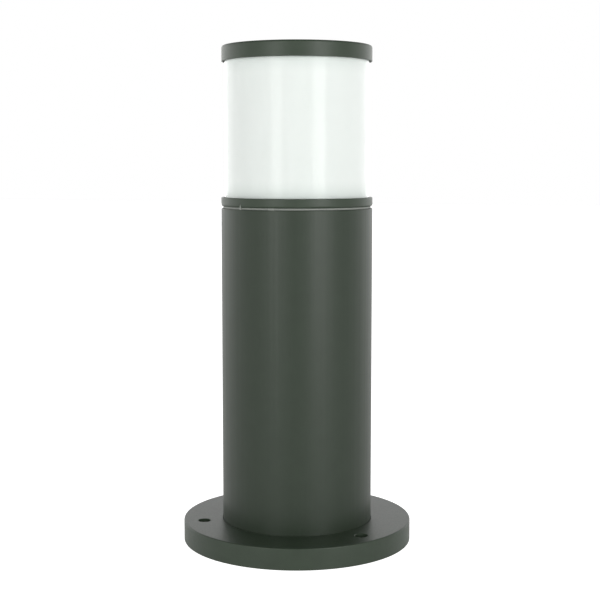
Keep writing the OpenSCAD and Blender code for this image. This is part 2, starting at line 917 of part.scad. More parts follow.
module top_cap() {
    seat_r = lens_r + lens_gap + 0.1;
    guide_r = lens_in_r - lens_play;
    color(paint)
    difference() {
        union() {
            rotate_extrude()
                union() {
                    difference() {
                        ring_2d(0, cap_r, z_cap0, z_cap1, cap_skirt_edge_r, cap_edge_r);
                        translate([-1, z_cap0 - 1])
                            square([cap_r - cap_skirt_t + 1, cap_skirt_h + 1]);
                        translate([-1, z_cap0 + 2])
                            square([seat_r + 1, z_cap_seat - z_cap0 - 2]);
                        translate([-1, z_cap_seat - 0.5])
                            square([guide_r + 1, z_cap_in - z_cap_seat + 0.5]);
                    }
                    ring_2d(guide_r - cap_guide_t, guide_r, z_cap_in - cap_guide_h, z_cap_in + 0.5);
                }
            intersection() {
                three(bolt_angle)
                    translate([port_r, 0, 0])
                        peg(cap_boss_r, z_cap_boss, z_cap_in + 0.5);
                peg(guide_r, z_cap_boss - 1, z_cap1);
            }
        }
        three(bolt_angle)
            translate([port_r, 0, 0]) {
                peg(rod_screw_d / 2 + pass_gap, z_cap_boss - 1, z_cap1 + 1);
                peg(cap_bore_r, z_cap1 - cap_bore_depth, z_cap1 + 1);
            }
    }
}

module cap_screws() {
    z_head = z_cap1 - cap_bore_depth + cap_seal_t;
    color(steel)
    three(bolt_angle)
        translate([port_r, 0, z_head])
            difference() {
                union() {
                    rotate_extrude()
                        ring_2d(0, cap_head_r, 0, cap_head_h, 0, 0.4);
                    peg(rod_screw_d / 2, -cap_screw_l, 0.5);
                }
                hexagon(cap_socket_af, cap_head_h - cap_socket_depth, cap_head_h + 1);
            }
}

module cap_screw_seals() {
    z_seal = z_cap1 - cap_bore_depth;
    color(dark_rubber)
    three(bolt_angle)
        translate([port_r, 0, 0])
            ring(rod_screw_d / 2 + 0.1, cap_head_r + 0.1, z_seal, z_seal + cap_seal_t);
}

// ---- Lamp ----

module lamp_cap() {
    lip_r = insulator_r + 0.1;
    color(steel)
    rotate_extrude()
        polygon([[lip_r, z_lamp_cap0], [lip_r + lamp_cap_t, z_lamp_cap0],
            [thread_r, z_lamp_cap0 + lamp_cap_taper],
            [thread_r, z_housing], [thread_r - lamp_cap_t, z_housing],
            [thread_r - lamp_cap_t, z_lamp_cap0 + lamp_cap_taper + 0.3],
            [lip_r, z_lamp_cap0 + 0.5]]);
}

module lamp_insulator() {
    z0 = z_lamp0 + contact_h;
    color("#202022")
    union() {
        translate([0, 0, z0])
            cylinder(r1 = contact_r + 1.4, r2 = insulator_r, h = insulator_h);
        peg(insulator_r, z0 + insulator_h, z0 + insulator_h + 1);
    }
}

module lamp_contact() {
    color(brass)
    rotate_extrude()
        ring_2d(0, contact_r, z_lamp0, z_lamp0 + contact_h, 0.6, 0);
}

module lamp_housing() {
    globe_foot = sqrt(globe_r * globe_r - pow(z_globe - z_housing1, 2));
    color(nylon)
    rotate_extrude()
        difference() {
            union() {
                ring_2d(0, thread_r - lamp_cap_t - 0.1, z_lamp_cap0 + 4.5, z_housing + 1);
                polygon([[0, z_housing], [housing_r, z_housing], [globe_foot + globe_seat, z_housing1],
                    [0, z_housing1]]);
            }
            polygon([[-1, z_lamp_cap0 + 6], [thread_r - 2.2, z_lamp_cap0 + 6],
                [thread_r - 2.2, z_housing], [globe_foot - 4, z_housing1 + 1],
                [-1, z_housing1 + 1]]);
        }
}

module lamp_board() {
    color("#e6e6e2")
    peg(board_r, z_housing1, z_housing1 + board_t);
}

module lamp_leds() {
    color("#f0d060")
    for (i = [0 : 7])
        rotate(i * 45)
            translate([led_circle_r, -led_w / 2, z_housing1 + board_t])
                cube([led_w, led_w, led_h]);
}

module lamp_globe() {
    color(opal)
    translate([0, 0, z_globe])
        difference() {
            sphere(r = globe_r);
            sphere(r = globe_r - globe_t);
            translate([-globe_r - 1, -globe_r - 1, -2 * globe_r - z_globe + z_housing1])
                cube([globe_d + 2, globe_d + 2, 2 * globe_r]);
        }
}

base_flange();
base_seal();
post_tube();
flange_screws();
cable_grommet();
gear_tray();
gear_tray_screws();
cord_clamp();
cord_clamp_screws();
terminal_block();
terminal_clamps();
terminal_screws();
terminal_block_screws();
wire_live();
wire_neutral();
wire_earth();
earth_lug();
earth_screw();
lamp_carrier();
carrier_gasket();
carrier_screws();
tie_rods();
tie_rod_nuts();
lampholder_bracket();
bracket_screws();
lampholder_body();
lampholder_shell();
lampholder_contact();
lampholder_screws();
lower_lens_seal();
diffuser();
upper_lens_seal();
top_cap();
cap_screws();
cap_screw_seals();
lamp_cap();
lamp_insulator();
lamp_contact();
lamp_housing();
lamp_board();
lamp_leds();
lamp_globe();
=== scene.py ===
"""Looks of a low bollard light: coated castings and tube, opal lens, seals, fixings and lamp."""

import math

import bmesh
import bpy
from bpy.props import FloatProperty, FloatVectorProperty, IntProperty, PointerProperty
from mathutils import Matrix, Vector


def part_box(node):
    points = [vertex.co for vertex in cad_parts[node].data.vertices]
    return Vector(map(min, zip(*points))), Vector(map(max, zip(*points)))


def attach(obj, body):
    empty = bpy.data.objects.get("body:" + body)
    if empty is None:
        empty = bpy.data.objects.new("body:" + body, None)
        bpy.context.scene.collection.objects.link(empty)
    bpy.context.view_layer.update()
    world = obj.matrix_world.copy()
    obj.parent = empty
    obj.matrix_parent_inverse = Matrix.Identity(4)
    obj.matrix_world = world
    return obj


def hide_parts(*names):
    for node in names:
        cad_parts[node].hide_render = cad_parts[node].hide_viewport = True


bl_info = {
    "name": "Bollard light",
    "version": (1, 0, 0),
    "blender": (4, 5, 0),
    "location": "3D View > Sidebar > Bollard",
    "description": "Builds the detailed pieces of a bollard light round its packed model",
    "category": "Object",
}

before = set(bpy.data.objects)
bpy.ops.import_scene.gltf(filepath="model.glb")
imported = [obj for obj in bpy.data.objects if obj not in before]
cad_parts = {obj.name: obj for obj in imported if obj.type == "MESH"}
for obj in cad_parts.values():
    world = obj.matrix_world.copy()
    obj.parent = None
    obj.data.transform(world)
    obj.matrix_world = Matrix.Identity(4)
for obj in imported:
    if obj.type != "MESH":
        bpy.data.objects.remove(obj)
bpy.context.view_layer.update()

MM = 0.001
# Turns from +X: the first fixing hole and tie rod, the first screw port, the groove seal's key.
BOLT_ANGLE = math.radians(90)
PORT_ANGLE = math.radians(30)
KEY_ANGLE = math.radians(242.4)
THIRD_TURN = math.radians(120)
# Coarse pitches: the screws in the ports, then the cap screws and the tie rods.
M5_PITCH = 0.8 * MM
M4_PITCH = 0.7 * MM
# The rods and their nuts take the same spanner.
ROD_ACROSS = 7 * MM
# The lampholder's screws through its bracket, from the axis.
HOLDER_SCREW_REACH = 11.5 * MM
# Steps round a turned piece that shows, one that is mostly hidden, a lamp thread and a screw.
RING_STEPS = 256
LATHE_STEPS = 192
LAMP_THREAD_STEPS = 96
SCREW_STEPS = 32
# Steps from the globe's open end to its top.
GLOBE_STEPS = 56
# Rows of points in one pitch of a thread, and steps in a rounded corner.
THREAD_ROWS = 6
ARC_STEPS = 6
# Lengths in metres that differ by less than this count as the same.
TOLERANCE = 1e-7
# Width of the wave texture's straight bands at a scale of 1; diagonal bands are a sixth wider.
WAVE_BAND = 0.314


# ---- Colours and lengths ----


def linear(hex_colour):
    """Linear RGB of an sRGB hex colour."""
    values = [int(hex_colour[i : i + 2], 16) / 255 for i in (1, 3, 5)]
    return [v / 12.92 if v <= 0.04045 else ((v + 0.055) / 1.055) ** 2.4 for v in values]


def colour(name, hex_colour, description):
    """A colour setting whose default is an sRGB hex colour."""
    return FloatVectorProperty(
        name=name, description=description, subtype="COLOR", size=3, min=0, max=1,
        default=linear(hex_colour),
    )


def length(name, millimetres, description):
    """A length setting whose default is in millimetres."""
    return FloatProperty(
        name=name, description=description, unit="LENGTH", min=0, default=millimetres * MM
    )


# ---- Settings ----


class BollardBodySizes(bpy.types.PropertyGroup):
    """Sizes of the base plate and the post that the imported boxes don't give"""

    flange_height: length("Base height", 13, "Height of the base plate without its spigot")
    plate: length("Plate thickness", 4.5, "Thickness of the base plate's top wall")
    rim: length("Rim thickness", 5, "Thickness of the base plate's rim")
    edge: length("Top edge radius", 0.8, "Round on the base plate's top edge")
    hole: length("Fixing hole", 7.5, "Diameter of the ground fixing holes")
    hole_circle: length("Hole circle", 115, "Diameter of the circle that the fixing holes lie on")
    boss: length("Fixing boss", 16, "Diameter of the bosses under the fixing holes")
    ribs: IntProperty(name="Ribs", description="Ribs under the base plate", min=3, default=15)
    rib: length("Rib thickness", 3, "Thickness of each rib")
    seat: length("Seat depth", 3, "Depth of the groove that takes the post")
    wall: length("Post wall", 2.5, "Wall thickness of the post")
    port_radius: length("Port circle radius", 35, "Distance of the screw ports from the axis")
    port_wall: length("Port wall", 1.85, "Wall thickness of a screw port")
    port_web: length("Port web", 3, "Thickness of the web that joins a port to the wall")
    port_slot: length("Port slot", 2.4, "Width of a port's open side")
    port_screw: length("Port screw", 5, "Thread diameter of the screws in the ports")


class BollardHeadSizes(bpy.types.PropertyGroup):
    """Sizes of the lamp carrier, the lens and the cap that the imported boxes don't give"""

    ring_height: length("Ring height", 5.4, "Height of the painted ring")
    ring_edge: length("Ring edge radius", 1.3, "Round on the ring's lower edge")
    ring_lip: length("Ring lip", 1.9, "Thickness of the ring outside the lens")
    web: length("Web thickness", 3, "Thickness of the lamp carrier's web")
    opening: length("Web opening", 42.7, "Diameter of the hole that the lampholder passes")
    spigot: length("Spigot wall", 2.4, "Wall thickness of the spigots in the post")
    lens_wall: length("Lens wall", 2.75, "Wall thickness of the lens")
    lens_play: length("Lens play", 0.6, "Gap between the lens's bore and what centres it")
    cap_top: length("Cap top", 3, "Thickness of the cap's top")
    cap_skirt: length("Cap skirt", 1, "Thickness of the cap's skirt")
    cap_edge: length("Cap edge radius", 1.3, "Round on the cap's top edge")
    cap_bore: length("Screw recess", 7.8, "Diameter of the recesses for the cap screws")
    cap_bore_depth: length("Recess depth", 4.6, "Depth of those recesses")
    rod_screw: length("Cap screw", 4, "Thread diameter of the cap screws and tie rods")
    key_width: length("Key width", 0.9, "Width of the groove seal's key")
    lamp_pitch: length("Lamp thread pitch", 3.62, "Pitch of the lamp's screw cap")


class BollardFinishes(bpy.types.PropertyGroup):
    """Colours of the finishes"""

    coat: colour("Powder coat", "#222e20", "Greenish anthracite powder coat")
    coat_cast: colour("Powder coat, castings", "#303d2e", "The coat on the castings' rougher skin")
    coat_worn: colour("Powder coat, light", "#273325", "The same coat where it lies thinner")
    lens: colour("Opal lens", "#ebf3ed", "Opal polycarbonate")
    seal: colour("Groove seal", "#8d918b", "Pale silicone seal under the ring")
    rubber: colour("Rubber", "#1d1e20", "Black EPDM rubber")
    floor: colour("Floor", "#cbcbcb", "Pale floor")


class BollardStudio(bpy.types.PropertyGroup):
    """Camera and light"""

    azimuth: FloatProperty(
        name="Camera azimuth", description="Turn of the view about the post",
        subtype="ANGLE", default=math.radians(19),
    )
    pitch: FloatProperty(
        name="Camera pitch", description="How far the camera looks down",
        subtype="ANGLE", default=math.radians(6.1),
    )
    distance: length("Camera distance", 783.1, "From the camera to the post's axis, level")
    height: length("Camera height", 230.8, "Height of the camera above the ground")
    side: length("Camera offset", 1.86, "Offset of the camera to its right")
    focal: FloatProperty(
        name="Focal length", description="Lens in millimetres", default=77.68, min=10
    )
    strip_right: FloatProperty(
        name="Right strip", description="Radiance of the right strip light", default=5.1
    )
    strip_left: FloatProperty(
        name="Left strip", description="Radiance of the left strip light", default=3.9
    )
    back: FloatProperty(
        name="Back light", description="Radiance of the room behind the light", default=2.4
    )
    floor_back: FloatProperty(
        name="Floor light", description="Radiance of the lit floor behind it", default=0.7
    )
    front: FloatProperty(
        name="Front light", description="Radiance of the room in front of it", default=0.62
    )


class BollardSettings(bpy.types.PropertyGroup):
    """Everything that a user would change"""

    body: PointerProperty(type=BollardBodySizes)
    head: PointerProperty(type=BollardHeadSizes)
    finish: PointerProperty(type=BollardFinishes)
    studio: PointerProperty(type=BollardStudio)


# ---- Mesh helpers ----


def rounded(points):
    """A closed outline from (x, y) or (x, y, radius) corners, each radius drawn as an arc."""
    corners = [(Vector(p[:2]), p[2] if len(p) > 2 else 0) for p in points]
    outline = []
    for i, (corner, radius) in enumerate(corners):
        if not radius:
            outline.append(corner)
            continue
        back = (corners[i - 1][0] - corner).normalized()
        onward = (corners[(i + 1) % len(corners)][0] - corner).normalized()
        half = back.angle(onward) / 2
        centre = corner + (back + onward).normalized() * radius / math.sin(half)
        start = corner + back * radius / math.tan(half) - centre
        end = corner + onward * radius / math.tan(half) - centre
        turn = start.angle_signed(end)
        for step in range(ARC_STEPS + 1):
            spin = Matrix.Rotation(-turn * step / ARC_STEPS, 2)
            outline.append(centre + spin @ start)
    return outline


def mesh_object(name, points, faces):
    """A closed mesh with points that coincide merged and its faces turned outwards."""
    mesh = bpy.data.meshes.new(name)
    mesh.from_pydata(points, [], faces)
    work = bmesh.new()
    work.from_mesh(mesh)
    bmesh.ops.remove_doubles(work, verts=work.verts, dist=TOLERANCE)
    bmesh.ops.recalc_face_normals(work, faces=work.faces)
    work.to_mesh(mesh)
    work.free()
    piece = bpy.data.objects.new(name, mesh)
    bpy.context.scene.collection.objects.link(piece)
    return piece


def lathe(name, outline, steps=LATHE_STEPS, ripple=None):
    """A closed outline of (radius, height) turned about +Z.

    ripple(radius, height, angle) gives the radius where a thread runs round the piece.
    """
    rows = len(outline)
    points = []
    for k in range(steps):
        angle = 2 * math.pi * k / steps
        for radius, height in outline:
            r = ripple(radius, height, angle) if ripple else radius
            points.append((r * math.cos(angle), r * math.sin(angle), height))
    faces = []
    for k in range(steps):
        ahead = (k + 1) % steps
        for i in range(rows):
            j = (i + 1) % rows
            on_axis = outline[i][0] < TOLERANCE and outline[j][0] < TOLERANCE
            if not on_axis:
                faces.append([k * rows + i, ahead * rows + i, ahead * rows + j, k * rows + j])
    return mesh_object(name, points, faces)


def prism(name, outline, low, high):
    """An outline of (x, y) points carried up from low to high."""
    count = len(outline)
    points = [(p[0], p[1], z) for z in (low, high) for p in outline]
    faces = [list(range(count - 1, -1, -1)), list(range(count, 2 * count))]
    faces += [[i, (i + 1) % count, count + (i + 1) % count, count + i] for i in range(count)]
    return mesh_object(name, points, faces)


def ring(name, inner, outer, low, high, edge):
    """A ring about the axis with its four edges rounded."""
    outline = rounded([
        (inner, low, edge), (outer, low, edge), (outer, high, edge), (inner, high, edge),
    ])
    return lathe(name, outline, RING_STEPS)


def circle(radius, steps=48, centre=(0, 0)):
    """Points of a circle, anticlockwise."""
    turns = [2 * math.pi * k / steps for k in range(steps)]
    return [(centre[0] + radius * math.cos(a), centre[1] + radius * math.sin(a)) for a in turns]


def block(name, low, high):
    """A box from its low corner to its high corner."""
    (x0, y0, z0), (x1, y1, z1) = low, high
    return prism(name, [(x0, y0), (x1, y0), (x1, y1), (x0, y1)], z0, z1)


def place(piece, matrix):
    """Moves or turns the mesh itself, so the object stays at the origin."""
    piece.data.transform(matrix)
    return piece


def spun(piece, angle, radius=0.0):
    """The piece moved out along +X by radius and turned about the axis."""
    return place(piece, Matrix.Rotation(angle, 4, "Z") @ Matrix.Translation((radius, 0, 0)))


def copy_of(piece):
    """A copy with a mesh of its own."""
    twin = piece.copy()
    twin.data = piece.data.copy()
    bpy.context.scene.collection.objects.link(twin)
    return twin


def thrice(piece, start, radius):
    """Three copies at 120 degrees, the first at the start angle."""
    copies = [piece, copy_of(piece), copy_of(piece)]
    return [spun(c, start + i * THIRD_TURN, radius) for i, c in enumerate(copies)]


def discard(piece):
    """Removes a piece that has been cut away or joined to another."""
    mesh = piece.data
    bpy.data.objects.remove(piece)
    bpy.data.meshes.remove(mesh)


def carve(piece, tools, operation="DIFFERENCE"):
    """Cuts the tools away from the piece one after another, or joins them to it."""
    for tool in tools:
        change = piece.modifiers.new("carve", "BOOLEAN")
        change.operation = operation
        change.solver = "EXACT"
        change.object = tool
        graph = bpy.context.evaluated_depsgraph_get()
        result = bpy.data.meshes.new_from_object(piece.evaluated_get(graph))
        piece.modifiers.remove(change)
        old = piece.data
        piece.data = result
        result.name = piece.name
        bpy.data.meshes.remove(old)
        discard(tool)
    return piece


def weld(piece, tools):
    """Joins the tools to the piece as one solid."""
    return carve(piece, tools, "UNION")


def joined(name, pieces):
    """One object that holds all the pieces' meshes as they lie."""
    work = bmesh.new()
    for piece in pieces:
        work.from_mesh(piece.data)
    mesh = bpy.data.meshes.new(name)
    work.to_mesh(mesh)
    work.free()
    for piece in pieces:
        discard(piece)
    whole = bpy.data.objects.new(name, mesh)
    bpy.context.scene.collection.objects.link(whole)
    return whole


def shade(piece, material, crease):
    """Gives the piece its one material, and smooth shading that breaks at edges past crease."""
    piece.data.materials.clear()
    piece.data.materials.append(material)
    piece.data.shade_smooth()
    piece.data.set_sharp_from_angle(angle=math.radians(crease))
    even = piece.modifiers.new("even faces", "WEIGHTED_NORMAL")
    even.keep_sharp = True
    return even


def finish_piece(piece, body, material, node, crease=35):
    """Shades the piece and hands it to its body in place of its CAD node."""
    even = shade(piece, material, crease)
    even.weight = 90
    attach(piece, body)
    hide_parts(node)


def dress(node_name, material):
    """A CAD node keeps its shape and gets its material and smooth shading."""
    shade(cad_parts[node_name], material, 35)


def radius_of(node_name):
    """Half of a CAD node's width, which is its radius where it is round about the axis."""
    low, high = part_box(node_name)
    return max(high.x - low.x, high.y - low.y) / 2


def span(node_name):
    """Lowest and highest point of a CAD node."""
    low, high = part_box(node_name)
    return low.z, high.z


# ---- Material helpers ----


def add(tree, kind, inputs=None, **settings):
    """Adds one node, sets its settings, and gives each named input a value or a link."""
    made = tree.nodes.new(kind)
    for key, value in settings.items():
        setattr(made, key, value)
    for key, value in (inputs or {}).items():
        if isinstance(value, bpy.types.NodeSocket):
            tree.links.new(value, made.inputs[key])
        else:
            made.inputs[key].default_value = value
    return made


def start_material(name, **inputs):
    """A material with its shader, and the node that gives positions on the object in metres."""
    material = bpy.data.materials.new(name)
    material.use_nodes = True
    tree = material.node_tree
    tree.nodes.clear()
    values = {key.replace("_", " "): value for key, value in inputs.items()}
    shader = add(tree, "ShaderNodeBsdfPrincipled", values)
    add(tree, "ShaderNodeOutputMaterial", {"Surface": shader.outputs["BSDF"]})
    spot = add(tree, "ShaderNodeTexCoord").outputs["Object"]
    return material, tree, shader, spot


def noise(tree, spot, size, detail=3.0, stretch=(1, 1, 1)):
    """Noise whose features are about size metres across, stretched along the axes."""
    scaled = add(tree, "ShaderNodeMapping", {"Vector": spot, "Scale": stretch})
    made = add(
        tree, "ShaderNodeTexNoise",
        {"Vector": scaled.outputs["Vector"], "Scale": 1 / size, "Detail": detail},
    )
    return made.outputs["Fac"]


def spread(tree, value, low, high):
    """Noise from 0.3 to 0.7 taken to the range from low to high."""
    made = add(
        tree, "ShaderNodeMapRange",
        {"Value": value, "From Min": 0.3, "From Max": 0.7, "To Min": low, "To Max": high},
    )
    return made.outputs["Result"]


def blend_colours(tree, factor, first, second):
    """From the first colour to the second as the factor goes from 0 to 1; either may be a link."""
    made = add(tree, "ShaderNodeMix", {"Factor": factor}, data_type="RGBA")
    for name, value in (("A_Color", first), ("B_Color", second)):
        socket = next(s for s in made.inputs if s.identifier == name)
        if isinstance(value, bpy.types.NodeSocket):
            tree.links.new(value, socket)
        else:
            socket.default_value = (*value, 1)
    return next(s for s in made.outputs if s.identifier == "Result_Color")


def bump(tree, shader, height, depth):
    """Raises the surface by up to depth metres where height is 1."""
    made = add(tree, "ShaderNodeBump", {"Height": height, "Distance": depth, "Strength": 1.0})
    tree.links.new(made.outputs["Normal"], shader.inputs["Normal"])


# ---- Materials ----


def powder_coat(finish, drawn=False):
    """Polyester powder coat baked on aluminium: satin, with a fine orange peel.

    On the drawn tube the die's lines run up through the coat and part its highlights.
    """
    name = "powder_coat_on_extrusion" if drawn else "powder_coat_on_casting"
    material, tree, shader, spot = start_material(
        name, Roughness=0.45, IOR=1.5, Specular_IOR_Level=0.5
    )
    mottle = noise(tree, spot, 9 * MM)
    plain = finish.coat if drawn else finish.coat_cast
    tint = blend_colours(tree, spread(tree, mottle, 0.25, 0.75), plain, finish.coat_worn)
    tree.links.new(tint, shader.inputs["Base Color"])
    peel = noise(tree, spot, 1.1 * MM, 2.0)
    if drawn:
        lines = noise(tree, spot, 1.6 * MM, 3.0, (1, 1, 0.004))
        rough = spread(tree, lines, 0.41, 0.49)
        mixed = add(tree, "ShaderNodeMath", {0: peel, 1: lines}, operation="ADD")
        bump(tree, shader, mixed.outputs["Value"], 0.012 * MM)
    else:
        rough = spread(tree, peel, 0.42, 0.48)
        bump(tree, shader, peel, 0.016 * MM)
    tree.links.new(rough, shader.inputs["Roughness"])
    return material


def opal_polycarbonate(finish):
    """Extruded opal polycarbonate: polished outside and milky inside, so light spreads in its wall.

    Its colour is painted a little darker near its ends. This is painted shade where the ring and the
    cap stand round it and keep light out.
    """
    material, tree, shader, spot = start_material(
        "opal_polycarbonate", Roughness=0.08, IOR=1.58, Specular_IOR_Level=0.14,
        Subsurface_Weight=0.7, Subsurface_Radius=(1, 1, 1), Subsurface_Scale=7 * MM,
    )
    cloud = noise(tree, spot, 30 * MM)
    tint = blend_colours(tree, spread(tree, cloud, 0, 0.5), finish.lens, linear("#e7f0e9"))
    low, high = span("diffuser")
    end = (high - low) / 2
    height = add(tree, "ShaderNodeSeparateXYZ", {"Vector": spot}).outputs["Z"]
    rise = add(tree, "ShaderNodeMath", {0: height, 1: (low + high) / 2}, operation="SUBTRACT")
    away = add(tree, "ShaderNodeMath", {0: rise.outputs["Value"]}, operation="ABSOLUTE")
    # Painted shade: the lens colour blends to a darker tint over the last 14 mm at each end,
    # standing in for the shade of the ring and the cap.
    painted_end_shade = add(tree, "ShaderNodeMapRange", {
        "Value": away.outputs["Value"], "From Min": end - 14 * MM, "From Max": end - 3 * MM,
        "To Min": 0.0, "To Max": 1.0}, interpolation_type="SMOOTHSTEP")
    tint = blend_colours(tree, painted_end_shade.outputs["Result"], tint, linear("#dce5df"))
    tree.links.new(tint, shader.inputs["Base Color"])
    draw = noise(tree, spot, 2.5 * MM, 2.0, (1, 1, 0.01))
    bump(tree, shader, draw, 0.003 * MM)
    return material


def silicone(finish):
    """Moulded silicone: matt and slightly waxy, so light goes a little way in."""
    material, tree, shader, spot = start_material(
        "moulded_silicone", Roughness=0.6, IOR=1.41, Subsurface_Weight=0.3,
        Subsurface_Radius=(1, 1, 1), Subsurface_Scale=0.6 * MM,
    )
    grain = noise(tree, spot, 0.8 * MM)
    tint = blend_colours(tree, spread(tree, grain, 0, 0.6), finish.seal, linear("#7f837d"))
    tree.links.new(tint, shader.inputs["Base Color"])
    bump(tree, shader, grain, 0.01 * MM)
    return material


def moulded_rubber(finish):
    """Moulded EPDM: black, matt, with a dusty bloom in patches."""
    material, tree, shader, spot = start_material("moulded_rubber", Roughness=0.7, IOR=1.5)
    bloom = noise(tree, spot, 4 * MM)
    tint = blend_colours(tree, spread(tree, bloom, 0, 0.6), finish.rubber, linear("#303133"))
    tree.links.new(tint, shader.inputs["Base Color"])
    tree.links.new(spread(tree, bloom, 0.6, 0.8), shader.inputs["Roughness"])
    bump(tree, shader, noise(tree, spot, 0.5 * MM), 0.01 * MM)
    return material


def metal(name, hex_colour, hex_dull, roughness, grain_mm, stretch=(1, 1, 1)):
    """A bare metal: its tint and roughness wander with the grain of how it was worked."""
    material, tree, shader, spot = start_material(name, Metallic=1.0, Roughness=roughness)
    grain = noise(tree, spot, grain_mm * MM, 4.0, stretch)
    factor = spread(tree, grain, 0, 0.7)
    tint = blend_colours(tree, factor, linear(hex_colour), linear(hex_dull))
    tree.links.new(tint, shader.inputs["Base Color"])
    rough = spread(tree, grain, roughness * 0.8, roughness * 1.3)
    tree.links.new(rough, shader.inputs["Roughness"])
    bump(tree, shader, grain, 0.006 * MM)
    return material


def rolled_brass():
    """Sheet brass: bright yellow, with the rolls' lines drawn out along it."""
    return metal("rolled_brass", "#d9b25f", "#b8924a", 0.3, 0.8, (0.1, 1, 1))


def zinc_plate():
    """Zinc plate on steel: bluish grey, clouded where the passivation took unevenly."""
    return metal("zinc_plated_steel", "#c2c6ca", "#9ea3a6", 0.36, 6)


def plastic(name, hex_colour, hex_shade, roughness, grain_mm, ior=1.5):
    """A moulded plastic or glaze: a fine texture from the tool, and slightly uneven colour."""
    material, tree, shader, spot = start_material(name, Roughness=roughness, IOR=ior)
    grain = noise(tree, spot, grain_mm * MM)
    patches = noise(tree, spot, grain_mm * 12 * MM)
    factor = spread(tree, patches, 0, 0.7)
    tint = blend_colours(tree, factor, linear(hex_colour), linear(hex_shade))
    tree.links.new(tint, shader.inputs["Base Color"])
    rough = spread(tree, grain, roughness * 0.85, roughness * 1.15)
    tree.links.new(rough, shader.inputs["Roughness"])
    bump(tree, shader, grain, 0.008 * MM)
    return material


def earth_wire():
    """Green PVC with a yellow stripe, which shows as slanting bands where the wire is twisted."""
    material, tree, shader, spot = start_material("green_yellow_pvc", Roughness=0.4, IOR=1.53)
    bands = add(tree, "ShaderNodeTexWave", {"Vector": spot, "Scale": WAVE_BAND / (5 * MM)},
                wave_type="BANDS", bands_direction="DIAGONAL")
    edge = add(tree, "ShaderNodeMapRange", {
        "Value": bands.outputs["Fac"], "From Min": 0.45, "From Max": 0.55,
        "To Min": 0.0, "To Max": 1.0})
    tint = blend_colours(tree, edge.outputs["Result"], linear("#2f7a3a"), linear("#d8c832"))
    tree.links.new(tint, shader.inputs["Base Color"])
    bump(tree, shader, noise(tree, spot, 0.5 * MM), 0.008 * MM)
    return material


# ---- Shapes shared by pieces ----


def ports(sizes, bore, grow, low, high):
    """Three solid screw ports, grown on every side, each joined to the post's wall."""
    outer = sizes.port_screw / 2 + 0.05 * MM + sizes.port_wall + grow
    web = sizes.port_web / 2 + grow
    reach = bore - sizes.port_radius + 0.4 * MM
    pieces = thrice(prism("port", circle(outer), low, high), PORT_ANGLE, sizes.port_radius)
    arm = block("port web", (0, -web, low + 0.001 * MM), (reach, web, high - 0.001 * MM))
    return pieces + thrice(arm, PORT_ANGLE, sizes.port_radius)


def holes(radius, low, high, start, distance, flare=0.0):
    """Three round hole cutters, with a flare at the top for a broken edge."""
    if flare:
        outline = [(0, low), (radius, low), (radius, high - flare),
                   (radius + 2 * flare, high + flare), (0, high + flare)]
    else:
        outline = [(0, low), (radius, low), (radius, high), (0, high)]
    return thrice(lathe("hole", outline, 64), start, distance)


def drill_pair(piece, radius, reach, low, high, y=0.0):
    """Two round holes, at -reach and reach along X."""
    for x in (-reach, reach):
        carve(piece, [prism("hole", circle(radius, 32, (x, y)), low, high)])


def threaded(radius, low, high, pitch):
    """Outline rows close enough together to carry a thread."""
    rows = round((high - low) / pitch * THREAD_ROWS)
    return [(radius, low + (high - low) * i / rows) for i in range(rows + 1)]


def thread_in(pitch, depth, low, high, radii):
    """A right-hand thread rolled into the outline's rows that lie at those radii."""
    def ripple(radius, height, angle):
        if not low < height < high or min(abs(radius - r) for r in radii) > TOLERANCE:
            return radius
        turn = height / pitch - angle / (2 * math.pi)
        return radius - depth * (0.5 - 0.5 * math.cos(2 * math.pi * turn))

    return ripple


def screw(name, radius, length, pitch, head, drive):
    """A screw whose head stands on z = 0, with its shank below and a drive cut in its head."""
    tip, thread_top = -length, head[0][1] - 0.3 * MM
    depth = 0.6 * pitch
    outline = [(0, tip), (radius - depth, tip), (radius, tip + depth)]
    outline += threaded(radius, tip + 2 * depth, thread_top, pitch) + head
    ripple = thread_in(pitch, depth, tip + depth, thread_top, (radius,))
    return carve(lathe(name, outline, SCREW_STEPS, ripple), drive)


def hexagon(name, across, low, high, chamfer=0.0):
    """A six-sided bar along +Z, with its corners broken at both ends."""
    corner = across / 2 / math.cos(math.radians(30))
    ends = [(corner - chamfer, low), (corner, low + chamfer), (corner, high - chamfer),
            (corner - chamfer, high)] if chamfer else [(corner, low), (corner, high)]
    return lathe(name, [(0, low)] + ends + [(0, high)], 6)


def pan_screw(name, radius, length, pitch, head_radius, head_height):
    """Domed head with a cross recess."""
    head = [(radius, 0), (head_radius - 0.1 * MM, 0), (head_radius, 0.12 * MM)]
    for step in range(9):
        lean = math.radians(90) * step / 8
        head.append((head_radius * (0.55 + 0.45 * math.cos(lean)),
                     head_height * (0.45 + 0.55 * math.sin(lean))))
    head.append((0, head_height))
    wing, half = head_radius * 0.58, head_radius * 0.13
    floor, top = head_height * 0.45, head_height + 1 * MM
    cross = [
        (wing, half), (half, half), (half, wing), (-half, wing), (-half, half), (-wing, half),
        (-wing, -half), (-half, -half), (-half, -wing), (half, -wing), (half, -half),
        (wing, -half),
    ]
    return screw(name, radius, length, pitch, head, [prism("cross", cross, floor, top)])


def flush_screw(name, radius, length, pitch, head_radius, socket):
    """Countersunk head with a hexagon socket; the head's face is at z = 0."""
    sink = head_radius - radius
    land = 0.12 * MM
    head = [(radius, -sink), (head_radius - land, -land), (head_radius - land, 0), (0, 0)]
    drive = hexagon("socket", socket, -0.8 * sink, 1 * MM)
    return screw(name, radius, length, pitch, head, [drive])


def socket_screw(name, radius, length, pitch, head_radius, head_height, socket, depth):
    """Cylinder head with a hexagon socket."""
    land, edge = 0.15 * MM, 0.4 * MM
    head = [(radius, 0), (head_radius - land, 0), (head_radius, land),
            (head_radius, head_height - edge), (head_radius - edge, head_height),
            (0, head_height)]
    drive = hexagon("socket", socket, head_height - depth, head_height + 1 * MM)
    return screw(name, radius, length, pitch, head, [drive])


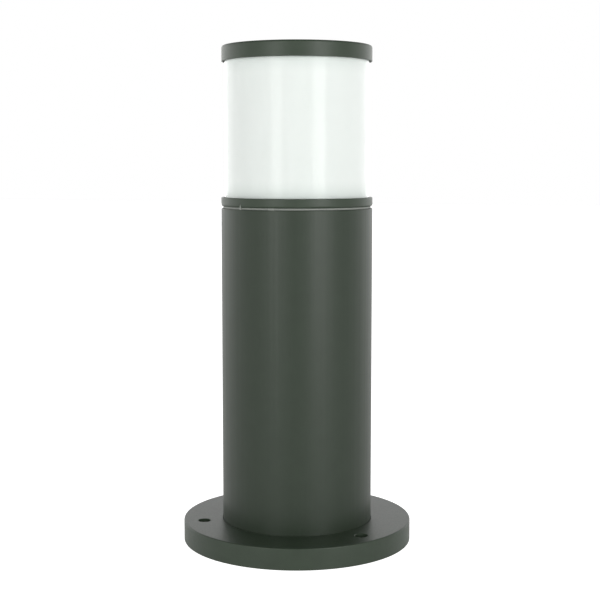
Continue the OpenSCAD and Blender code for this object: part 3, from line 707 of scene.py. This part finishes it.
def fit_three(piece, height, start, radius, body, material, node, crease=35):
    """Three of the piece, set at a height, in place of the CAD node that holds all three."""
    place(piece, Matrix.Translation((0, 0, height)))
    finish_piece(joined(node, thrice(piece, start, radius)), body, material, node, crease)


# ---- Operators ----


class BollardBasePlate(bpy.types.Operator):
    """Cast base plate: a rimmed disc with ribs and bosses beneath and a seat for the post"""

    bl_idname = "bollard.base_plate"
    bl_label = "Base plate"

    def execute(self, context):
        settings = context.scene.bollard
        body = settings.body
        outer = radius_of("base_flange")
        top = body.flange_height
        under = top - body.plate
        post = radius_of("post_tube")
        spigot = post - body.wall - 0.2 * MM
        seat = top - body.seat
        spigot_top = span("base_flange")[1]
        spigot_bore = spigot - 2.4 * MM
        groove = post + 0.15 * MM
        rim_bore = outer - body.rim
        grommet = 13 * MM
        hub, hub_outer, hub_low = 18 * MM, 21 * MM, 2.4 * MM
        seat_inner, seat_outer, seat_low = post - 5.5 * MM, post + 3 * MM, 5 * MM
        outline = rounded([
            (grommet, under), (grommet, top), (spigot_bore, top),
            (spigot_bore, spigot_top, 0.4 * MM), (spigot, spigot_top, 0.6 * MM),
            (spigot, seat), (groove, seat), (groove, top, 0.2 * MM),
            (outer, top, body.edge), (outer, 0, 0.5 * MM),
            (rim_bore, 0, 0.5 * MM), (rim_bore - 0.3 * MM, under, 2 * MM),
            (seat_outer, under, 1 * MM), (seat_outer, seat_low, 0.4 * MM),
            (seat_inner, seat_low, 0.4 * MM), (seat_inner, under, 1 * MM),
            (hub_outer, under, 1 * MM), (hub_outer, hub_low, 0.4 * MM),
            (hub, hub_low, 0.4 * MM), (hub, under),
        ])
        piece = lathe("base_plate", outline, RING_STEPS)
        self.add_ribs(piece, body, hub + 1 * MM, rim_bore + 1 * MM, under + 1 * MM)
        bolt = body.hole_circle / 2
        boss = prism("boss", circle(body.boss / 2, 64), 0.02 * MM, under + 1 * MM)
        weld(piece, thrice(boss, BOLT_ANGLE, bolt))
        boss_low = 4 * MM
        boss = prism("boss", circle(7 * MM, 64), boss_low, under + 1 * MM)
        weld(piece, thrice(boss, PORT_ANGLE, body.port_radius))
        clamp_reach, clamp_y = 14 * MM, 24 * MM
        for x in (-clamp_reach, clamp_reach):
            spots = circle(4.5 * MM, 48, (x, clamp_y))
            weld(piece, [prism("boss", spots, boss_low, under + 1 * MM)])
        carve(piece, ports(body, post - body.wall, 0.8 * MM, seat, spigot_top + 1 * MM))
        carve(piece, holes(body.hole / 2, -1 * MM, top, BOLT_ANGLE, bolt, 0.25 * MM))
        carve(piece, holes(body.port_screw / 2 + 0.25 * MM, 3 * MM, top, PORT_ANGLE,
                           body.port_radius))
        sink_low, sink_top = 3.8 * MM, 6.1 * MM
        sink = lathe("sink", [(0, sink_low), (4.9 * MM, sink_low), (2.6 * MM, sink_top),
                              (0, sink_top)], 64)
        carve(piece, thrice(sink, PORT_ANGLE, body.port_radius))
        drill_pair(piece, 2.05 * MM, clamp_reach, 5 * MM, top + 1 * MM, clamp_y)
        finish_piece(piece, "post", powder_coat(settings.finish), "base_flange", crease=30)
        return {"FINISHED"}

    def add_ribs(self, piece, body, inner, outer, top):
        half = body.rib / 2
        rib = [(inner, -half), (outer, -half), (outer, half), (inner, half)]
        for i in range(body.ribs):
            turn = BOLT_ANGLE + 2 * math.pi * i / body.ribs
            weld(piece, [spun(prism("rib", rib, 3 * MM, top), turn)])


class BollardPost(bpy.types.Operator):
    """Extruded post with three screw ports along its bore"""

    bl_idname = "bollard.post"
    bl_label = "Post"

    def execute(self, context):
        settings = context.scene.bollard
        body = settings.body
        outer = radius_of("post_tube")
        low, high = span("post_tube")
        bore = outer - body.wall
        outline = rounded([
            (bore, low, 0.2 * MM), (outer, low, 0.3 * MM), (outer, high, 0.35 * MM),
            (bore, high, 0.2 * MM),
        ])
        piece = lathe("post", outline, RING_STEPS)
        weld(piece, ports(body, bore, 0, low, high))
        carve(piece, holes(body.port_screw / 2 + 0.05 * MM, low - 1 * MM, high, PORT_ANGLE,
                           body.port_radius, 0.2 * MM))
        slot = block("slot", (-6 * MM, -body.port_slot / 2, low - 1 * MM),
                     (-0.5 * MM, body.port_slot / 2, high + 1 * MM))
        carve(piece, thrice(slot, PORT_ANGLE, body.port_radius))
        coat = powder_coat(settings.finish, drawn=True)
        finish_piece(piece, "post", coat, "post_tube", crease=30)
        return {"FINISHED"}


class BollardLampCarrier(bpy.types.Operator):
    """Cast lamp carrier: the ring that shows, the web, the lens seat and the spigot"""

    bl_idname = "bollard.lamp_carrier"
    bl_label = "Lamp carrier"

    def execute(self, context):
        settings = context.scene.bollard
        body, head = settings.body, settings.head
        outer = radius_of("lamp_carrier")
        low, high = span("lamp_carrier")
        ring_low = high - head.ring_height
        web = ring_low + head.web
        bore = outer - body.wall
        spigot = bore - 0.2 * MM
        lens = radius_of("diffuser")
        seat = span("lower_lens_seal")[0]
        guide = lens - head.lens_wall - head.lens_play
        outline = rounded([
            (head.opening / 2, ring_low, 0.3 * MM), (head.opening / 2, web, 0.5 * MM),
            (guide, web, 0.3 * MM), (guide, seat), (outer - head.ring_lip, seat),
            (outer - head.ring_lip, high, 0.3 * MM), (outer, high, 0.5 * MM),
            (outer, ring_low, head.ring_edge), (spigot, ring_low), (spigot, low, 0.6 * MM),
            (spigot - head.spigot, low, 0.4 * MM), (spigot - head.spigot, ring_low, 1 * MM),
        ])
        piece = lathe("lamp_carrier_casting", outline, RING_STEPS)
        carve(piece, ports(body, bore, 0.8 * MM, low - 1 * MM, ring_low))
        carve(piece, holes(body.port_screw / 2 + 0.25 * MM, ring_low - 1 * MM, web, PORT_ANGLE,
                           body.port_radius, 0.2 * MM))
        carve(piece, holes(head.rod_screw / 2 + 0.05 * MM, ring_low - 1 * MM, web, BOLT_ANGLE,
                           body.port_radius, 0.2 * MM))
        low_corner, high_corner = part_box("bracket_screws")
        bracket_screw_head = 3.8 * MM
        reach = (high_corner.x - low_corner.x) / 2 - bracket_screw_head
        drill_pair(piece, 2.05 * MM, reach, ring_low - 1 * MM, web - 0.4 * MM)
        half = head.key_width / 2 + 0.1 * MM
        notch = block("notch", (outer - 1.5 * MM, -half, ring_low - 1 * MM),
                      (outer + 1 * MM, half, ring_low + 1.9 * MM))
        carve(piece, [spun(notch, KEY_ANGLE)])
        finish_piece(piece, "post", powder_coat(settings.finish), "lamp_carrier", crease=30)
        return {"FINISHED"}


class BollardGrooveSeal(bpy.types.Operator):
    """Pale seal in the groove under the ring, with an ear on each port and a small key"""

    bl_idname = "bollard.groove_seal"
    bl_label = "Groove seal"

    def execute(self, context):
        settings = context.scene.bollard
        body, head = settings.body, settings.head
        low = span("post_tube")[1]
        high = span("lamp_carrier")[1] - head.ring_height
        outer = radius_of("post_tube") - 1.1 * MM
        spigot = radius_of("post_tube") - body.wall - 0.1 * MM
        outline = rounded([
            (spigot, low), (outer, low, 0.3 * MM), (outer, high, 0.3 * MM), (spigot, high),
        ])
        piece = lathe("groove_seal", outline, RING_STEPS)
        weld(piece, ports(body, outer, 0.4 * MM, low + 0.01 * MM, high - 0.01 * MM))
        carve(piece, holes(body.port_screw / 2 + 0.3 * MM, low - 1 * MM, high + 1 * MM, PORT_ANGLE,
                           body.port_radius))
        key = block("key", (outer - 0.4 * MM, -head.key_width / 2, low + 0.02 * MM),
                    (outer + 0.85 * MM, head.key_width / 2, high + 1.8 * MM))
        weld(piece, [spun(key, KEY_ANGLE)])
        finish_piece(piece, "post", silicone(settings.finish), "carrier_gasket", crease=30)
        return {"FINISHED"}


class BollardLens(bpy.types.Operator):
    """Opal lens: a cut length of tube with broken edges"""

    bl_idname = "bollard.lens"
    bl_label = "Lens"

    def execute(self, context):
        settings = context.scene.bollard
        outer = radius_of("diffuser")
        low, high = span("diffuser")
        piece = ring("lens", outer - settings.head.lens_wall, outer, low, high, 0.3 * MM)
        finish_piece(piece, "diffuser", opal_polycarbonate(settings.finish), "diffuser", crease=60)
        return {"FINISHED"}


class BollardCap(bpy.types.Operator):
    """Cast cap: a flat top with a skirt, a guide ring, and bosses for three sunk screws"""

    bl_idname = "bollard.cap"
    bl_label = "Cap"

    def execute(self, context):
        settings = context.scene.bollard
        body, head = settings.body, settings.head
        outer = radius_of("top_cap")
        low, high = span("top_cap")
        inside = high - head.cap_top
        seat = span("upper_lens_seal")[1]
        lens = radius_of("diffuser")
        guide = lens - head.lens_wall - head.lens_play
        pocket = lens + 0.45 * MM
        skirt = outer - head.cap_skirt
        guide_bore, guide_low = guide - 1.3 * MM, inside - 4.2 * MM
        step = low + 2.5 * MM
        outline = rounded([
            (0, inside), (guide_bore, inside, 0.5 * MM), (guide_bore, guide_low, 0.3 * MM),
            (guide, guide_low, 0.3 * MM), (guide, seat), (pocket, seat),
            (pocket, step), (skirt, step), (skirt, low, 0.25 * MM),
            (outer, low, 0.25 * MM), (outer, high, head.cap_edge), (0, high),
        ])
        piece = lathe("cap", outline, RING_STEPS)
        boss_low = inside - 5.8 * MM
        boss = prism("boss", circle(5 * MM, 64), boss_low, inside + 0.5 * MM)
        weld(piece, thrice(boss, BOLT_ANGLE, body.port_radius))
        carve(piece, holes(head.rod_screw / 2 + 0.25 * MM, boss_low - 1 * MM, high + 1 * MM,
                           BOLT_ANGLE, body.port_radius))
        recess = head.cap_bore / 2
        floor = high - head.cap_bore_depth
        bevel = 0.3 * MM
        outline = [(0, floor), (recess, floor), (recess, high - bevel),
                   (recess + 2 * bevel, high + bevel), (0, high + bevel)]
        carve(piece, thrice(lathe("recess", outline, 64), BOLT_ANGLE, body.port_radius))
        finish_piece(piece, "cap", powder_coat(settings.finish), "top_cap", crease=30)
        return {"FINISHED"}


class BollardFixings(bpy.types.Operator):
    """Stainless screws with rolled threads, hexagon tie rods and their nuts"""

    bl_idname = "bollard.fixings"
    bl_label = "Fixings"

    def execute(self, context):
        settings = context.scene.bollard
        body, head = settings.body, settings.head
        stainless = metal("turned_stainless_steel", "#c9c8c4", "#a9a8a4", 0.28, 0.4)
        circle_radius = body.port_radius
        port_screw, rod_screw = body.port_screw / 2, head.rod_screw / 2
        port_screw_head = 4.6 * MM
        low, high = span("flange_screws")
        piece = flush_screw("flange_screw", port_screw, high - low, M5_PITCH, port_screw_head,
                            3 * MM)
        place(piece, Matrix.Rotation(math.pi, 4, "X"))
        fit_three(piece, low, PORT_ANGLE, circle_radius, "post", stainless, "flange_screws")
        low, high = span("carrier_screws")
        tall = 3.2 * MM
        piece = pan_screw("carrier_screw", port_screw, high - low - tall, M5_PITCH,
                          port_screw_head, tall)
        fit_three(piece, high - tall, PORT_ANGLE, circle_radius, "post", stainless,
                  "carrier_screws")
        low, high = span("cap_screws")
        tall = 3.8 * MM
        piece = socket_screw("cap_screw", rod_screw, high - low - tall, M4_PITCH, 3.5 * MM, tall,
                             3 * MM, 2.2 * MM)
        fit_three(piece, high - tall, BOLT_ANGLE, circle_radius, "cap", stainless, "cap_screws")
        self.add_rods(circle_radius, rod_screw, head.web, stainless)
        return {"FINISHED"}

    def add_rods(self, circle_radius, radius, web, stainless):
        """Rods through the carrier's web, tapped for the cap screws, and the nuts beneath it."""
        low, high = span("tie_rods")
        nut_low, nut_high = span("tie_rod_nuts")
        foot = nut_high + web
        rod = hexagon("rod", ROD_ACROSS, foot, high, 0.35 * MM)
        carve(rod, [prism("bore", circle(radius + 0.1 * MM), high - 18 * MM, high + 1 * MM)])
        stud_top, tip = foot + 0.5 * MM, 0.4 * MM
        rows = threaded(radius, low + tip, stud_top, M4_PITCH)
        ripple = thread_in(M4_PITCH, tip, low + tip, nut_high, (radius,))
        outline = [(0, low), (radius - tip, low)] + rows + [(0, stud_top)]
        stud = lathe("stud", outline, SCREW_STEPS, ripple)
        fit_three(joined("rod", [rod, stud]), 0, BOLT_ANGLE, circle_radius, "post", stainless,
                  "tie_rods", crease=25)
        nut = hexagon("nut", ROD_ACROSS, nut_low, nut_high, 0.3 * MM)
        carve(nut, [prism("bore", circle(radius + 0.05 * MM), nut_low - 1 * MM, nut_high + 1 * MM)])
        fit_three(nut, 0, BOLT_ANGLE, circle_radius, "post", stainless, "tie_rod_nuts", crease=25)


class BollardLensSeals(bpy.types.Operator):
    """Rubber rings that the lens stands on and that the cap presses on it"""

    bl_idname = "bollard.lens_seals"
    bl_label = "Lens seals"

    def execute(self, context):
        rubber = moulded_rubber(context.scene.bollard.finish)
        head = context.scene.bollard.head
        inner = radius_of("diffuser") - head.lens_wall - head.lens_play + 0.02 * MM
        for node, body in (("lower_lens_seal", "post"), ("upper_lens_seal", "cap")):
            piece = ring(node, inner, radius_of(node), *span(node), 0.2 * MM)
            finish_piece(piece, body, rubber, node)
        return {"FINISHED"}


class BollardLampholder(bpy.types.Operator):
    """Porcelain lampholder with its threaded brass shell, on a bent steel bracket"""

    bl_idname = "bollard.lampholder"
    bl_label = "Lampholder"

    def execute(self, context):
        head = context.scene.bollard.head
        base = radius_of("lampholder_body")
        low, high = span("lampholder_body")
        shell_low, shell_high = span("lampholder_shell")
        shell = radius_of("lampholder_shell")
        bore = shell + 0.3 * MM
        neck = bore + 2.6 * MM
        rim = bore + 4 * MM
        foot_top, rim_low = low + 9.5 * MM, high - 5.5 * MM
        outline = rounded([
            (0, low), (base, low, 0.8 * MM), (base, foot_top, 1.6 * MM),
            (neck, foot_top, 1.2 * MM), (neck, rim_low, 0.8 * MM), (rim, rim_low, 1 * MM),
            (rim, high, 1.2 * MM), (bore, high, 0.6 * MM), (bore, shell_low), (0, shell_low),
        ])
        piece = lathe("lampholder_body", outline)
        wire_reach, hole = 6 * MM, 1.55 * MM
        drill_pair(piece, hole, wire_reach, low - 1 * MM, low + 6 * MM)
        drill_pair(piece, hole, HOLDER_SCREW_REACH, low - 1 * MM, low + 9 * MM)
        porcelain = plastic("glazed_porcelain", "#ece9e0", "#e2ded3", 0.12, 1.5, 1.52)
        finish_piece(piece, "post", porcelain, "lampholder_body")
        inner = shell - 0.45 * MM
        rows = threaded(shell, shell_low, shell_high, head.lamp_pitch)
        outline = rows + [(inner, z) for _, z in reversed(rows)]
        ripple = thread_in(head.lamp_pitch, 0.25 * MM, shell_low + 1 * MM, shell_high - 1 * MM,
                           (shell, inner))
        brass = rolled_brass()
        piece = lathe("lampholder_shell", outline, LAMP_THREAD_STEPS, ripple)
        finish_piece(piece, "post", brass, "lampholder_shell", crease=60)
        self.add_bracket()
        return {"FINISHED"}

    def add_bracket(self):
        """Hat-shaped bracket: its ears are screwed up under the web and its floor holds the body."""
        (x0, y0, low), (x1, y1, high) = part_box("lampholder_bracket")
        sheet = 1.5 * MM
        wall = x1 - 13 * MM
        bend, inside = 1.9 * MM, 0.4 * MM
        outline = rounded([
            (-wall, low, bend), (wall, low, bend), (wall, high - sheet, inside), (x1, high - sheet),
            (x1, high), (wall - sheet, high, bend), (wall - sheet, low + sheet, inside),
            (-wall + sheet, low + sheet, inside), (-wall + sheet, high, bend), (x0, high),
            (x0, high - sheet), (-wall, high - sheet, inside),
        ])
        piece = prism("lampholder_bracket", outline, y0, y1)
        place(piece, Matrix.Rotation(math.radians(90), 4, "X"))
        carve(piece, [prism("hole", circle(7.5 * MM), low - 1 * MM, low + 2 * sheet)])
        drill_pair(piece, 1.6 * MM, HOLDER_SCREW_REACH, low - 1 * MM, low + 2 * sheet)
        drill_pair(piece, 2.1 * MM, wall + 7 * MM, high - 2 * sheet, high + 1 * MM)
        finish_piece(piece, "post", zinc_plate(), "lampholder_bracket", crease=40)


class BollardLamp(bpy.types.Operator):
    """Lamp: threaded nickel cap, flared housing and frosted globe"""

    bl_idname = "bollard.lamp"
    bl_label = "Lamp"

    def execute(self, context):
        pitch = context.scene.bollard.head.lamp_pitch
        low, high = span("lamp_cap")
        radius = radius_of("lamp_cap")
        sheet = 0.4 * MM
        lip = radius_of("lamp_insulator") + 0.1 * MM
        rows = threaded(radius, low + 3 * MM, high, pitch)
        outline = [(lip, low), (lip + sheet, low)] + rows
        outline += [(radius - sheet, z) for _, z in reversed(rows)] + [(lip, low + 0.5 * MM)]
        ripple = thread_in(pitch, 0.9 * MM, low + 3.4 * MM, high - 3 * MM,
                           (radius, radius - sheet))
        nickel = metal("nickel_plated_brass", "#d6d3cc", "#b6b3ac", 0.22, 1.5)
        piece = lathe("lamp_cap", outline, LAMP_THREAD_STEPS, ripple)
        finish_piece(piece, "lamp", nickel, "lamp_cap", crease=60)
        self.add_housing(high, radius - 1.5 * MM)
        self.add_globe()
        return {"FINISHED"}

    def add_housing(self, collar, neck):
        """Hollow housing: a neck in the cap, then a flare from the collar up to the globe."""
        low, high = span("lamp_housing")
        wide = radius_of("lamp_housing")
        narrow = 14.5 * MM
        wall = 2.2 * MM
        flare_low, land = 1.2 * MM, 0.6 * MM
        flare = []
        for step in range(17):
            t = step / 16
            ease = t * t * (3 - 2 * t)
            flare.append((narrow + (wide - narrow) * (0.35 * t + 0.65 * ease),
                          collar + flare_low + (high - land - collar - flare_low) * t))
        edge = 0.3 * MM
        outline = [(neck - wall, low), (neck, low), (neck, collar), (narrow - edge, collar),
                   (narrow, collar + edge)] + flare + [(wide, high)]
        outline += [(r - wall, z) for r, z in reversed(flare)] + [(neck - wall, collar - 1 * MM)]
        piece = lathe("lamp_housing", outline)
        thermoplastic = plastic("white_thermoplastic", "#e8e8e4", "#dcdcd8", 0.45, 0.5)
        finish_piece(piece, "lamp", thermoplastic, "lamp_housing")

    def add_globe(self):
        """Most of a hollow ball, open where the housing holds it."""
        low, high = span("lamp_globe")
        radius = radius_of("lamp_globe")
        wall = 1.2 * MM
        centre = high - radius
        outline = []
        for size in (radius, radius - wall):
            start = math.asin((low - centre) / size)
            arc = [start + (math.radians(90) - start) * i / GLOBE_STEPS
                   for i in range(GLOBE_STEPS + 1)]
            side = [(size * max(math.cos(a), 0), centre + size * math.sin(a)) for a in arc]
            outline += side if size == radius else side[::-1]
        glass = plastic("frosted_globe", "#f1f0ec", "#e8e7e2", 0.35, 0.8)
        finish_piece(lathe("lamp_globe", outline), "lamp", glass, "lamp_globe", crease=60)


class BollardCarriedNodes(bpy.types.Operator):
    """Seals, fixings, gear, wires, lampholder and lamp that keep their CAD shape"""

    bl_idname = "bollard.carried_nodes"
    bl_label = "Inner parts"

    def execute(self, context):
        finishes = (
            (moulded_rubber(context.scene.bollard.finish),
             ("base_seal", "cable_grommet", "cap_screw_seals")),
            (zinc_plate(),
             ("gear_tray", "gear_tray_screws", "cord_clamp_screws", "terminal_screws",
              "terminal_block_screws", "bracket_screws", "lampholder_screws", "earth_lug")),
            (rolled_brass(),
             ("terminal_clamps", "earth_screw", "lampholder_contact", "lamp_contact")),
            (plastic("moulded_polyamide", "#dedcd4", "#cfcdc4", 0.5, 0.6),
             ("cord_clamp", "terminal_block")),
            (plastic("brown_pvc", "#6b3f22", "#5c361d", 0.4, 0.5), ("wire_live",)),
            (plastic("blue_pvc", "#2c5da6", "#274f90", 0.4, 0.5), ("wire_neutral",)),
            (earth_wire(), ("wire_earth",)),
            (plastic("black_glass", "#141416", "#1c1c1f", 0.08, 1.0, 1.52), ("lamp_insulator",)),
            (plastic("white_solder_mask", "#e6e7e2", "#dadbd6", 0.3, 0.5), ("lamp_board",)),
            (plastic("phosphor_gel", "#e9c43c", "#dcb22c", 0.35, 0.3), ("lamp_leds",)),
        )
        for material, nodes in finishes:
            for node in nodes:
                dress(node, material)
        return {"FINISHED"}


class BollardStage(bpy.types.Operator):
    """Pale floor, two tall strip lights, a pale room and the camera"""

    bl_idname = "bollard.stage"
    bl_label = "Stage"

    def execute(self, context):
        settings = context.scene.bollard
        studio = settings.studio
        turn = Matrix.Rotation(studio.azimuth, 4, "Z")
        self.add_camera(context, studio, turn)
        self.add_floor(settings.finish, studio, turn)
        for name, degrees, radiance, width in (
            ("strip right", 35, studio.strip_right, 0.46),
            ("strip left", -32, studio.strip_left, 0.385),
        ):
            self.add_strip(name, turn, math.radians(degrees), radiance, width)
        self.add_room(context, studio, turn)
        return {"FINISHED"}

    def add_camera(self, context, studio, turn):
        data = bpy.data.cameras.new("camera")
        data.lens = studio.focal
        data.sensor_width = 36
        data.clip_start = 0.01
        camera = bpy.data.objects.new("camera", data)
        spot = Vector((studio.side, -studio.distance, studio.height))
        tilt = Matrix.Rotation(math.radians(90) - studio.pitch, 4, "X")
        camera.matrix_world = turn @ Matrix.Translation(spot) @ tilt
        context.scene.collection.objects.link(camera)
        context.scene.camera = camera

    def add_floor(self, finish, studio, turn):
        """A matt floor: white to the camera, and a glow that grows behind the post."""
        half = 6.0
        floor = mesh_object("floor", [(-half, -half, 0), (half, -half, 0), (half, half, 0),
                                      (-half, half, 0)], [[0, 1, 2, 3]])
        material, tree, shader, spot = start_material("matt_laminate", Roughness=0.7, IOR=1.45)
        cloud = noise(tree, spot, 0.4)
        tint = blend_colours(tree, spread(tree, cloud, 0, 0.2), finish.floor, linear("#c6c6c6"))
        tree.links.new(tint, shader.inputs["Base Color"])
        ahead = turn @ Vector((0, 1, 0))
        away = add(tree, "ShaderNodeVectorMath", {0: spot, 1: ahead}, operation="DOT_PRODUCT")
        near, far, near_glow = -0.1, 0.8, 0.42
        glow = add(tree, "ShaderNodeMapRange", {
            "Value": away.outputs["Value"], "From Min": near, "From Max": far,
            "To Min": near_glow, "To Max": studio.floor_back})
        sight = add(tree, "ShaderNodeLightPath").outputs["Is Camera Ray"]
        lit = add(tree, "ShaderNodeMath", {0: glow.outputs["Result"], 1: sight},
                  operation="MAXIMUM")
        shader.inputs["Emission Color"].default_value = (1, 1, 1, 1)
        tree.links.new(lit.outputs["Value"], shader.inputs["Emission Strength"])
        self.open_from_below(tree, shader)
        floor.data.materials.append(material)

    def open_from_below(self, tree, shader):
        """The floor's lower side is clear, so the underside can be looked at."""
        under = add(tree, "ShaderNodeNewGeometry").outputs["Backfacing"]
        clear = add(tree, "ShaderNodeBsdfTransparent").outputs["BSDF"]
        mixed = add(tree, "ShaderNodeMixShader")
        tree.links.new(under, mixed.inputs[0])
        tree.links.new(shader.outputs["BSDF"], mixed.inputs[1])
        tree.links.new(clear, mixed.inputs[2])
        out = next(n for n in tree.nodes if n.type == "OUTPUT_MATERIAL")
        tree.links.new(mixed.outputs["Shader"], out.inputs["Surface"])

    def add_strip(self, name, turn, angle, radiance, width):
        """A tall softbox that faces the post, at an angle from the camera's side."""
        height, reach, lift = 1.1, 1.25, 0.02
        data = bpy.data.lights.new(name, "AREA")
        data.shape = "RECTANGLE"
        data.size = width
        data.size_y = height
        data.energy = radiance * math.pi * width * height
        lamp = bpy.data.objects.new(name, data)
        spot = Vector((reach * math.sin(angle), -reach * math.cos(angle), height / 2 + lift))
        aim = (Vector((0, 0, spot.z)) - spot).to_track_quat("-Z", "Y").to_matrix().to_4x4()
        lamp.matrix_world = turn @ Matrix.Translation(spot) @ aim
        bpy.context.scene.collection.objects.link(lamp)

    def add_room(self, context, studio, turn):
        """Light from all round: full from behind the post and weaker from the camera's side."""
        world = bpy.data.worlds.new("pale room")
        world.use_nodes = True
        tree = world.node_tree
        tree.nodes.clear()
        heading = add(tree, "ShaderNodeTexCoord").outputs["Generated"]
        # The brightest side of the room is a little left of straight behind the post.
        leftward = Matrix.Rotation(math.radians(9), 4, "Z")
        ahead = turn @ leftward @ Vector((0, 1, 0))
        facing = add(tree, "ShaderNodeVectorMath", {0: heading, 1: ahead}, operation="DOT_PRODUCT")
        dim_side, bright_side = -0.75, 0.95
        level = add(tree, "ShaderNodeMapRange", {
            "Value": facing.outputs["Value"], "From Min": dim_side, "From Max": bright_side,
            "To Min": studio.front, "To Max": studio.back}, interpolation_type="SMOOTHSTEP")
        # The walls are lit and the ceiling is dim.
        wall_top, ceiling, ceiling_share = 0.1, 0.6, 0.12
        height = add(tree, "ShaderNodeSeparateXYZ", {"Vector": heading}).outputs["Z"]
        overhead = add(tree, "ShaderNodeMapRange", {
            "Value": height, "From Min": wall_top, "From Max": ceiling,
            "To Min": 1.0, "To Max": ceiling_share})
        level = add(tree, "ShaderNodeMath", {
            0: level.outputs["Result"], 1: overhead.outputs["Result"]}, operation="MULTIPLY")
        sight = add(tree, "ShaderNodeLightPath").outputs["Is Camera Ray"]
        strength = add(tree, "ShaderNodeMix", {
            "Factor": sight, "A": level.outputs["Value"], "B": 1.0}, data_type="FLOAT")
        background = add(tree, "ShaderNodeBackground", {
            "Color": (1, 1, 1, 1), "Strength": strength.outputs["Result"]})
        add(tree, "ShaderNodeOutputWorld", {"Surface": background.outputs["Background"]})
        context.scene.world = world
        context.scene.view_settings.view_transform = "Standard"
        context.scene.view_settings.look = "None"


PIECE_OPERATORS = (
    BollardStage, BollardBasePlate, BollardPost, BollardLampCarrier, BollardGrooveSeal, BollardLens,
    BollardCap, BollardFixings, BollardLensSeals, BollardLampholder, BollardLamp,
    BollardCarriedNodes,
)


class BollardPanel(bpy.types.Panel):
    """Lists the pieces that the add-on builds"""

    bl_idname = "VIEW3D_PT_bollard"
    bl_label = "Bollard light"
    bl_space_type = "VIEW_3D"
    bl_region_type = "UI"
    bl_category = "Bollard"

    def draw(self, context):
        for operator in PIECE_OPERATORS:
            self.layout.operator(operator.bl_idname)


CLASSES = (
    BollardBodySizes, BollardHeadSizes, BollardFinishes, BollardStudio, BollardSettings,
    *PIECE_OPERATORS, BollardPanel,
)


def register():
    for item in CLASSES:
        bpy.utils.register_class(item)
    bpy.types.Scene.bollard = PointerProperty(type=BollardSettings)


def unregister():
    del bpy.types.Scene.bollard
    for item in reversed(CLASSES):
        bpy.utils.unregister_class(item)


def main():
    register()
    for operator in PIECE_OPERATORS:
        group, name = operator.bl_idname.split(".")
        getattr(getattr(bpy.ops, group), name)()


if __name__ == "__main__":
    main()
